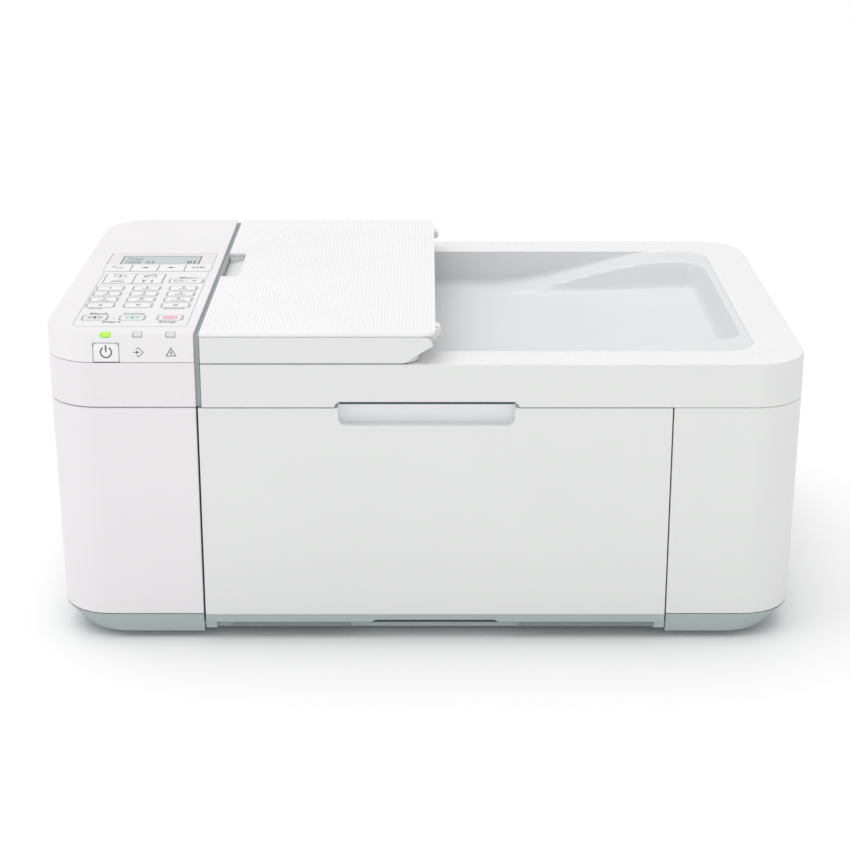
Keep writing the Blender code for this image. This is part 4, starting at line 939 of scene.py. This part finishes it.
def legend_of(art, name):
    """The ink on one key; start and stop have theirs in colour."""
    ink = 1 if name in ("start_colour", "stop") else 0
    for words, size, height, bold, squeeze in KEY_WORDS.get(name, []):
        art.text(words, size, 0.0, height, bold=bold, squeeze=squeeze)
    for path, width, closed in KEY_LINES.get(name, []):
        art.stroke(path, width, ink, closed)
    for outline in KEY_AREAS.get(name, []):
        art.area(outline, ink)


def make_keys():
    """The key caps, each with its ink as part of the same piece."""
    for node in sorted(n for n in frame["nodes"] if n.startswith("key_")):
        name = node[len("key_") :]
        x, y, z = key_centre(node)
        art = Print()
        key_edges(art, node, name)
        art.origin = (x, y)
        legend_of(art, name)
        ink = art.mesh(node + "_ink", lambda u, v, z=z: (u, v, z - 0.01))
        shape = solid_of(node)
        for vert in shape.verts:
            if vert.co.z > (z - 0.03) * MM:
                vert.co.z = (z - 0.05) * MM
        cap = rounded_look(mesh_of(shape, node + "_solid"), node + "_cap", 0.12, 2)
        finishes = [KEYCAP, INK, RED_INK if node == "key_stop" else GREEN_INK, INK, LINE_INK]
        stand_for(node, joined(cap, ink, node + "_look"), finishes, "key_white")


# Words beside a key: the words, the key, the offset from its centre, size, boldness and width.
PANEL_WORDS = [
    ("Menu", "menu", 0.0, 8.2, 4.6, 0.05, 1.0),
    ("Tone", "star", -2.0, -6.9, 3.4, 0.03, 1.1),
    ("Symbols", "hash", 0.0, -6.9, 3.4, 0.03, 1.1),
    ("Black", "start_black", 1.0, 9.0, 5.0, 0.07, 1.05),
    ("Color", "start_colour", 0.0, 9.0, 5.0, 0.07, 1.05),
    ("Stop", "stop", -0.5, -8.4, 5.4, 0.07, 1.05),
]


def make_panel_print():
    """Everything printed on the panel's top: the lines round the keypad, and the words."""
    art = Print()
    block_low, block_high = box_mm("key_back")[0], box_mm("key_ok")[1]
    under_block = block_low.y - 0.9
    art.stroke([(block_low.x + 1.0, under_block), (block_high.x - 0.4, under_block)], 0.42)
    left, right = block_low.x + 1.2, block_high.x - 0.6
    bottom = box_mm("key_stop")[0].y - 12.4
    corner = 6.5
    border = [(left, block_low.y - 3.0), (left, bottom + corner)]
    border += arc(left + corner, bottom + corner, corner, 180, 270, 8)
    border += [(right - 1.2, bottom), (right, bottom + 1.0), (right, block_high.y)]
    art.stroke(border, 0.36)
    for words, name, dx, dy, size, bold, squeeze in PANEL_WORDS:
        x, y, _ = key_centre("key_" + name)
        art.text(words, size, x + dx, y + dy, 1, bold=bold, squeeze=squeeze)
    middle = (key_centre("key_start_black")[0] + key_centre("key_start_colour")[0]) / 2
    stop_y = key_centre("key_stop")[1]
    art.text("Start", 5.4, middle, stop_y - 8.4, 1, bold=0.07, squeeze=1.05)
    art.disc(middle, stop_y, 0.7)
    art.lay("panel_print", lambda u, v: (u, v, TOP + INK_LIFT), [LINE_INK, INK], "case")


def make_front_print():
    """The symbols under the second and the third light, on the panel's front."""
    low, high = box_mm("power_key")
    height = (low.z + high.z) / 2 + 0.2
    art = Print()
    art.origin = (lamp_centres()[1], height)
    art.stroke([(-0.9, 1.7), (0.2, 2.7), (2.9, 0.0), (0.2, -2.7), (-0.9, -1.7)], 0.4)
    art.stroke([(-2.8, 0.0), (-0.6, 0.0)], 0.42)
    art.area([(-1.0, -0.95), (0.8, 0.0), (-1.0, 0.95)])
    art.origin = (lamp_centres()[2], height)
    art.stroke([(-2.7, -2.2), (2.7, -2.2), (0.0, 2.5)], 0.45, 0, True)
    art.stroke([(0.3, 0.7), (-0.6, -0.4), (0.6, -0.5), (-0.1, -1.6)], 0.4)
    art.lay("front_symbols", lambda u, v: (u, FRONT + 0.01, v), INK, "case")


def lamp_centres():
    """The X positions of the three light windows."""
    return [LEFT + at for at in (37.6, 55.6, 74.2)]


def make_power_key():
    """The power key: its outline has rounded upper corners and runs down to the seam."""
    low, high = box_mm("power_key")
    centre, height = (low.x + high.x) / 2, (low.z + high.z) / 2 + 0.2
    art = Print()
    art.stroke(arc(centre, height, 3.1, 122, 418, 28), 0.8)
    art.stroke([(centre, height + 0.2), (centre, height + 4.2)], 0.85)
    edge = rounded_points(centre - 7.35, centre + 7.35, low.z - 1, high.z + 0.1, (0, 0, 2.6, 2.6), 5)
    art.stroke(edge[1:] + edge[:1], 0.42, 1)
    shape = solid_of("power_key")
    sink_front(shape)
    ink = art.mesh("power_ink", lambda u, v: (u, FRONT + 0.01, max(v, low.z)))
    cap = rounded_look(mesh_of(shape, "power_solid"), "power_cap", 0.12)
    stand_for("power_key", joined(cap, ink, "power_key_look"), [KEYCAP, INK, LINE_INK], "key_white")


def make_lamps():
    """The light guide: its first window lit, the other two dark; the lit window's outlines are painted green
    for its glow.
    """
    lit_x = lamp_centres()[0]
    shape = solid_of("light_guide")
    for face in shape.faces:
        reach = max(abs(vert.co.x / MM - lit_x) for vert in face.verts)
        if reach < 3.2 and face.calc_center_median().z / MM > TOP - 2.4:
            face.material_index = 1
    stand_rounded("light_guide", shape, 0.25, [LAMP_OFF, LAMP_ON], "light_guide")
    sides = Print()
    tops = Print()
    half = 2.6
    back = FRONT + 3.9
    for number, x in enumerate(lamp_centres()):
        # The lit window's outlines take the painted green glow; the dark windows' outlines are printed
        # lines.
        ink = 1 if number == 0 else 0
        edge = rounded_points(x - half, x + half, TOP - 2.0, TOP, (0.8, 0.8, 0, 0), 4)
        sides.stroke(edge[-1:] + edge[:-1], 0.55, ink)
        for side_x in (x - half, x + half):
            tops.stroke([(side_x, FRONT + 0.3), (side_x, back)], 0.4, ink)
        if number == 0:
            tops.stroke([(x - half, back), (x + half, back)], 0.5, ink)
    sides.lay("lamp_sides", lambda u, v: (u, FRONT + 0.04, v), [LINE_INK, LAMP_GLOW], "case")
    tops.lay("lamp_tops", lambda u, v: (u, v, TOP + INK_LIFT), [LINE_INK, LAMP_GLOW], "case")


def make_display():
    """The display's window, with the liquid-crystal area, a painted shadow along its edges, and its
    characters.
    """
    low, high = box_mm("display")
    soften("display", 0.3, LCD_FRAME, "screen")
    x0, x1 = low.x + 8.6, high.x - 9.4
    y0, y1 = low.y + 0.5, low.y + 21.8
    art = Print()
    art.area(box_path(x0, x1, y0, y1))
    art.lay("lcd_area", lambda u, v: (u, v, high.z + 0.02), LCD, "case", "screen")
    art = Print()
    # Painted shadow: a dark line along the window's left, top and right edges, where its rim casts shade.
    art.stroke([(x0, y0), (x0, y1), (x1, y1), (x1, y0)], 0.7)
    art.text("Copy", 7.6, x0 + 2.8, y0 + 14.6, 1, "LEFT", 0.0, 0.62)
    art.text("100%  A4", 9.0, x0 + 2.0, y0 + 5.0, 1, "LEFT", 0.06, 0.55)
    art.text("01", 9.0, x1 - 1.4, y0 + 5.0, 0, "RIGHT", 0.25, 0.72)
    art.lay("lcd_print", lambda u, v: (u, v, high.z + 0.05), [INK, LCD_INK], "case")


# ---------------------------------------------------------------- the lid

# The recess in the lid with its shelf and basin, in mm: low and high corners, round corners and slopes.
RECESS_LOW = (-106.4, -122.0)
RECESS_HIGH = (191.4, 117.0)
RECESS_CORNER = 18.0
TRAY_FLOOR = 149.0
SHELF_START = 40.4
SHELF_RUN = 125.0
BASIN_LOW = (24.4, -95.0)
BASIN_HIGH = (187.4, 90.0)
BASIN_CORNER = 16.0
BASIN_WALL = 22.0 / 9.0
BASIN_START = 30.4
BASIN_CLIMB = 5.0 / 148.0
FOOT_ROUND = 5.0
SHELF_ROUND = 2.6
RIM_ROUND = 1.0
RIM = box_mm("document_cover")[1].z


def inside_distance(x, y):
    """How far a point is inside the basin's upper outline; negative outside it."""
    cx, cy = (BASIN_LOW[0] + BASIN_HIGH[0]) / 2, (BASIN_LOW[1] + BASIN_HIGH[1]) / 2
    hx = (BASIN_HIGH[0] - BASIN_LOW[0]) / 2 - BASIN_CORNER
    hy = (BASIN_HIGH[1] - BASIN_LOW[1]) / 2 - BASIN_CORNER
    dx, dy = abs(x - cx) - hx, abs(y - cy) - hy
    outside = math.hypot(max(dx, 0.0), max(dy, 0.0)) + min(max(dx, dy), 0.0)
    return BASIN_CORNER - outside


def soft_min(a, b, reach):
    """The lower of two heights, blended where they come within reach of each other."""
    blend = max(reach - abs(a - b), 0.0) / reach
    return min(a, b) - blend * blend * reach / 4


def tray_height(x, y):
    """The catch tray's surface: a flat floor, a shelf that climbs to the rim, and a basin sunk into it."""
    share = min(max((x - SHELF_START) / SHELF_RUN, 0.0), 1.0)
    shelf = TRAY_FLOOR + (RIM - 0.6 - TRAY_FLOOR) * share * share * (3 - 2 * share)
    floor = TRAY_FLOOR + max(x - BASIN_START, 0.0) * BASIN_CLIMB
    wall = RIM + 1.0 - inside_distance(x, y) * BASIN_WALL
    basin = -soft_min(-wall, -floor, FOOT_ROUND)
    return soft_min(shelf, basin, SHELF_ROUND)


def open_top(shape):
    """Removes the lid's upper faces, inwards from the outer edge at the rim."""

    def on_rim(edge):
        level = all(abs(vert.co.z / MM - RIM) < 0.02 for vert in edge.verts)
        return level and all(on_outline(vert, "document_cover", 1, 1.05) for vert in edge.verts)

    outer_edge = {edge for edge in shape.edges if on_rim(edge)}
    waiting = []
    for face in shape.faces:
        if face.normal.z > 0.99 and face.calc_center_median().z > (RIM - 0.05) * MM:
            waiting.append(face)
    taken = set(waiting)
    while waiting:
        for edge in waiting.pop().edges:
            if edge in outer_edge:
                continue
            for face in edge.link_faces:
                if face not in taken:
                    taken.add(face)
                    waiting.append(face)
    bmesh.ops.delete(shape, geom=list(taken), context="FACES")


def stacked(shape, ring, normals, steps, finish):
    """Adds rings above one, each an outward offset and a height in mm, and returns the last."""
    below = ring
    for offset, height in steps:
        above = []
        for vert, normal in zip(ring, normals):
            x, y = vert.co.x + normal.x * offset * MM, vert.co.y + normal.y * offset * MM
            above.append(shape.verts.new((x, y, height * MM)))
        band(shape, below, above, finish, smooth=True)
        below = above
    return below


def make_lid():
    """The lid: its own underside and edges, a smooth catch tray, and a rim with a fine grain, painted
    lighter than the sides for the light that falls on top.
    """
    shape = solid_of("document_cover")
    open_top(shape)
    loop = ordered([edge for edge in shape.edges if len(edge.link_faces) == 1])
    for vert in loop:
        vert.co.z = (RIM - RIM_ROUND) * MM
    steps = []
    for angle in (math.radians(90 * step / 4) for step in (1, 2, 3, 4)):
        steps.append((RIM_ROUND * (math.cos(angle) - 1), RIM - RIM_ROUND + RIM_ROUND * math.sin(angle)))
    outer_ring = stacked(shape, loop, outward(loop), steps, 0)
    border = []
    for ring in (outer_ring, tray_surface(shape)):
        border += [shape.edges.get((ring[i - 1], ring[i])) for i in range(len(ring))]
    filled = bmesh.ops.triangle_fill(shape, use_beauty=True, edges=border, normal=(0, 0, 1))
    # The flat rim takes the lid's top finish, painted lighter than its sides.
    for face in filled["geom"]:
        if isinstance(face, bmesh.types.BMFace):
            face.material_index = 1
    bmesh.ops.recalc_face_normals(shape, faces=shape.faces)
    stand_rounded("document_cover", shape, 0.5, [SHELL, LID_TOP_LIT, CATCH], "lid_white")


def ordered(edges):
    """The corners of one closed loop of edges, in order."""
    nexts = {}
    for edge in edges:
        for a, b in (edge.verts, reversed(edge.verts)):
            nexts.setdefault(a, []).append(b)
    first = edges[0].verts[0]
    loop = [first]
    before, here = first, nexts[first][0]
    while here is not first:
        loop.append(here)
        a, b = nexts[here]
        before, here = here, (b if a is before else a)
    return loop


def outward(loop):
    """For each corner of a loop, the level direction that points away from the loop's inside."""
    count = len(loop)
    places = [Vector((vert.co.x, vert.co.y)) for vert in loop]
    area = sum(places[i].cross(places[(i + 1) % count]) for i in range(count))
    turn = 1 if area > 0 else -1
    normals = []
    for i in range(count):
        sides = []
        for a, b in ((places[i - 1], places[i]), (places[i], places[(i + 1) % count])):
            if (b - a).length > 1e-9:
                sides.append((b - a).normalized())
        along = sum(sides, Vector((0, 0))).normalized()
        stretch = 1 / max(along.dot(sides[0]), 0.6)
        normals.append(Vector((along.y, -along.x)) * turn * stretch)
    return normals


TRAY_ROWS = 150


def tray_columns():
    """The X positions of the tray surface's columns, closer together over the shelf and round corners."""
    corner_start = RECESS_HIGH[0] - RECESS_CORNER
    columns = [RECESS_LOW[0] + 10.4 * i for i in range(10)]
    columns += [i * 1.5 for i in range(116)]
    columns += [corner_start + RECESS_CORNER * math.sin(math.radians(4.5 * i)) for i in range(1, 21)]
    return sorted(x for x in columns if x <= RECESS_HIGH[0] + 1e-6)


def tray_surface(shape):
    """Adds the catch tray to the lid, and returns the ring of corners at the rim."""
    grid = []
    for x in tray_columns():
        into_corner = max(x - (RECESS_HIGH[0] - RECESS_CORNER), 0.0)
        inset = RECESS_CORNER - math.sqrt(max(RECESS_CORNER**2 - into_corner**2, 0.0))
        y0, y1 = RECESS_LOW[1] + inset, RECESS_HIGH[1] - inset
        line = []
        for j in range(TRAY_ROWS + 1):
            share = j / TRAY_ROWS
            share -= 0.06 * math.sin(2 * math.pi * share)
            y = y0 + (y1 - y0) * share
            height = tray_height(x, y)
            reach = min(2.5, 0.5 * (RIM - height))
            near = min(y - y0, y1 - y, RECESS_HIGH[0] - x)
            if near < reach:
                height += reach - math.sqrt(max(reach**2 - (reach - near) ** 2, 0.0))
            line.append(shape.verts.new((x * MM, y * MM, height * MM)))
        grid.append(line)
    for this, after in zip(grid, grid[1:]):
        for j in range(TRAY_ROWS):
            face = shape.faces.new((this[j], after[j], after[j + 1], this[j + 1]))
            face.material_index = 2
            face.smooth = True
    ring = [line[0] for line in grid]
    ring += grid[-1][1:]
    ring += [line[-1] for line in reversed(grid[:-1])]
    ring += reversed(grid[0][1:-1])
    lip = [(0.0, RIM - 0.4), (0.12, RIM - 0.12), (0.4, RIM)]
    return stacked(shape, ring, outward(ring), lip, 2)


# ---------------------------------------------------------------- the feeder

RIB_PITCH = 2.08
RIB_WIDTH = 1.2
RIB_HEIGHT = 0.44
RIB_MARGIN = 1.4
PLATE_WIDTH = 133.4
PLATE_CORNER = 8.0
TRAY_TOP = 188.0 - 0.02
NOTCH_LOW, NOTCH_HIGH = -20.0, 40.0
NOTCH_DEPTH = 11.0
NOTCH_MARGIN = 1.2


def make_feeder():
    """The feeder's housing, and its plate with ribs from front to back, cut short round the notch."""
    soften("adf_frame", 0.6, SHELL, "lid_white")
    soften("document_tray", 0.45, PLATE, "lid_white")
    low, high = box_mm("document_tray")
    front, back = low.y + RIB_MARGIN, high.y - RIB_MARGIN
    right = low.x + PLATE_WIDTH
    first = low.x + NOTCH_DEPTH + 1.0
    count = int((right - PLATE_CORNER - first) / RIB_PITCH)
    side_count = int(NOTCH_DEPTH / RIB_PITCH)
    side_first = first - RIB_PITCH * side_count
    for name, start, number, y0, y1 in (
        ("tray_ribs", first, count, front, back),
        ("tray_ribs_front", side_first, side_count, front, NOTCH_LOW - NOTCH_MARGIN),
        ("tray_ribs_back", side_first, side_count, NOTCH_HIGH + NOTCH_MARGIN, back),
    ):
        rib = bar_shape((RIB_WIDTH, y1 - y0, RIB_HEIGHT))
        place = (start, (y0 + y1) / 2, TRAY_TOP)
        row(name, rib, place, (RIB_PITCH, 0, 0), number, PLATE, "document_tray")

    # The last ribs shorten towards the plate's round corners.
    shape = bmesh.new()
    x = first + RIB_PITCH * count
    while x < right - 1.2:
        into_corner = max(x - (right - PLATE_CORNER), 0.0)
        inset = PLATE_CORNER - math.sqrt(max(PLATE_CORNER**2 - into_corner**2, 0.0))
        length = back - front - 2 * inset
        for vert in bmesh.ops.create_cube(shape, size=1.0)["verts"]:
            width = RIB_WIDTH / 2 if vert.co.z > 0 else RIB_WIDTH
            y = (front + back) / 2 + vert.co.y * length
            z = TRAY_TOP + vert.co.z * RIB_HEIGHT
            vert.co = ((x + vert.co.x * width) * MM, y * MM, z * MM)
        x += RIB_PITCH
    piece("tray_ribs_edge", mesh_of(shape, "tray_ribs_edge"), PLATE, "document_tray")


# ---------------------------------------------------------------- inside and behind


def make_inside():
    """The parts inside that keep their own shape, with moulded edges and their finishes."""
    for finish, slot, widths in INSIDE:
        for node, width in widths.items():
            soften(node, width, finish, slot)


def screw_head(radius):
    """A pan-head screw about the origin, facing up, with a cross recess standing as four raised quarters."""
    shape = bmesh.new()
    half_slot = 0.16
    rounding = [(0.92 * math.cos(a), 0.92 * math.sin(a)) for a in (0.3, 0.6, 0.785, 0.97, 1.27)]
    quarter = [(half_slot, half_slot), (0.9, half_slot), *rounding, (half_slot, 0.9)]
    for turn in range(4):
        cosine, sine = math.cos(turn * math.pi / 2), math.sin(turn * math.pi / 2)
        spun = [(x * cosine - y * sine, x * sine + y * cosine) for x, y in quarter]
        loops = []
        for height, scale in ((0.0, 1.0), (0.16, 0.94), (0.26, 0.8)):
            size = scale * radius * MM
            loops.append([shape.verts.new((x * size, y * size, height * MM)) for x, y in spun])
        close_rings(shape, loops)
    return mesh_of(shape, "screw_head")


def turned_back(mesh):
    """The same mesh turned to face the rear."""
    shape = bmesh.new()
    shape.from_mesh(mesh)
    for vert in shape.verts:
        x, y, z = vert.co
        vert.co = (-x, z, y)
    return mesh_of(shape, mesh.name + "_rear")


def make_shelf_edge():
    """A fine ridge along the foot of the catch tray's rear wall, its lighter white a painted highlight where
    the light catches the fillet.
    """
    shape = bmesh.new()
    y = RECESS_HIGH[1]
    loops = []
    for step in range(81):
        x = 6.0 + 2.0 * step
        foot = tray_height(x, y - 0.6)
        corners = [(0.1, -0.1), (-1.2, -0.1), (-1.0, 0.5), (0.1, 0.9)]
        loops.append([shape.verts.new((x * MM, (y + dy) * MM, (foot + dz) * MM)) for dy, dz in corners])
    close_rings(shape, loops)
    bmesh.ops.recalc_face_normals(shape, faces=shape.faces)
    piece("shelf_edge", mesh_of(shape, "shelf_edge"), FOAM, "lid")


REAR_SINK = 0.4

# Centre X and Z, width and height of the outline round each socket.
SOCKETS = [
    (-165.0, 38.0, 18, 17),
    (-165.0, 58.0, 17, 18),
    (-165.0, 78.0, 17, 18),
    (165.0, 34.0, 32, 25),
]


def make_rear():
    """The rear cover with dark bars of painted shade where its air vents are, its screws and the outlines
    round its sockets.
    """
    high = box_mm("rear_cover")[1]
    wall = high.y - REAR_SINK
    shape = solid_of("rear_cover")
    for vert in shape.verts:
        if vert.co.y > (high.y - 0.03) * MM:
            vert.co.y = wall * MM
    stand_rounded("rear_cover", shape, 0.3, SHELL, "shell_white")
    # Painted shade: dark bars on the rear wall where the air vents' openings fall into shadow.
    vent_shade = turned_back(bar_shape((30.0, 1.5, 0.34), "rear_vent_painted_shade"))
    row("air_slats", vent_shade, (-60.0, wall + 0.17, 104.0), (40.0, 0, 0), 4, SHADE, "case", 9, (0, 0, 3.4))
    for name, x, z, pitch, count in (
        ("rear_screws", -140.0, 24.0, 70.0, 5),
        ("rear_screws_top", -174.0, 136.0, 116.0, 4),
    ):
        row(name, turned_back(screw_head(3.0)), (x, wall, z), (pitch, 0, 0), count, STEEL, "case")
    art = Print()
    for x, z, width, height in SOCKETS:
        sides = (x - width / 2, x + width / 2, z - height / 2, z + height / 2)
        art.stroke(rounded_points(*sides, (1.5,) * 4, 4), 0.5, 0, True)
    art.lay("socket_outlines", lambda u, v: (u, wall + 0.03, v), LINE_INK, "case")


CARTRIDGES = {"black_cartridge": [BLACK], "colour_cartridge": [CYAN, MAGENTA, YELLOW]}
SPOT_PITCH = 5.0


def make_mechanism():
    """What the open door shows: the platen's ribs, and the cartridges' labels with their colour spots."""
    low, high = box_mm("print_platen")
    pitch = 6.0
    rib = bar_shape((0.8, (high.y - low.y) * 0.7, 0.4), "platen_rib")
    count = int((high.x - low.x - 8.0) / pitch)
    start = (low.x + 5.0, (low.y + high.y) / 2, high.z + 0.1)
    row("platen_ribs", rib, start, (pitch, 0, 0), count, BLACK, "case")
    for node, colors in CARTRIDGES.items():
        low, high = box_mm(node)
        top = high.z
        art = Print()
        art.area(box_path(low.x + 2, high.x - 2, low.y + 3, low.y + 17))
        first = (low.x + high.x) / 2 - (len(colors) - 1) / 2 * SPOT_PITCH
        for number in range(len(colors)):
            x = first + number * SPOT_PITCH
            art.area(box_path(x - 2, x + 2, low.y + 6, low.y + 10), number + 1)
        mesh = art.mesh(node + "_label", lambda u, v, top=top: (u, v, top + 0.02))
        for spot in list(mesh.polygons)[1:]:
            for index in spot.vertices:
                mesh.vertices[index].co.z = (top + 0.05) * MM
        piece(node + "_label", mesh, [FOAM, *colors], "carriage")


# Finish, slot, and how far the edges of each part are rounded.
INSIDE = [
    (SHELL, "shell_white", {"feeder_cover": 0.5, "document_guide_front": 0.3, "document_guide_rear": 0.3}),
    (DARK, "dark_plastic", {"paper_output_tray": 0.4, "paper_guide_left": 0.3, "paper_guide_right": 0.3}),
    (DARK, "dark_plastic", {"image_sensor": 0.4}),
    (BLACK, "black_plastic", {"print_platen": 0.3, "carriage": 0.4, "black_cartridge": 0.4}),
    (BLACK, "black_plastic", {"colour_cartridge": 0.4, "power_supply": 0.4}),
    (STEEL, "steel", {"chassis": 0.2, "carriage_motor": 0.5}),
    (RUBBER, "rubber", {"carriage_belt": 0.15}),
    (RUBBER, "rubber", {"feed_roller": 0.3, "eject_roller": 0.3, "adf_feed_roller": 0.3}),
    (GLASS, "glass", {"scanner_glass": 0.15}),
    (FOAM, "foam", {"pressure_sheet": 0.3}),
    (BOARD, "circuit_board", {"main_board": 0.1}),
]

make_covers()
make_front_cover()
make_panel()
make_seams()
make_keys()
make_panel_print()
make_front_print()
make_power_key()
make_lamps()
make_display()
make_lid()
make_feeder()
make_inside()
make_shelf_edge()
make_rear()
make_mechanism()
make_camera()
make_studio()
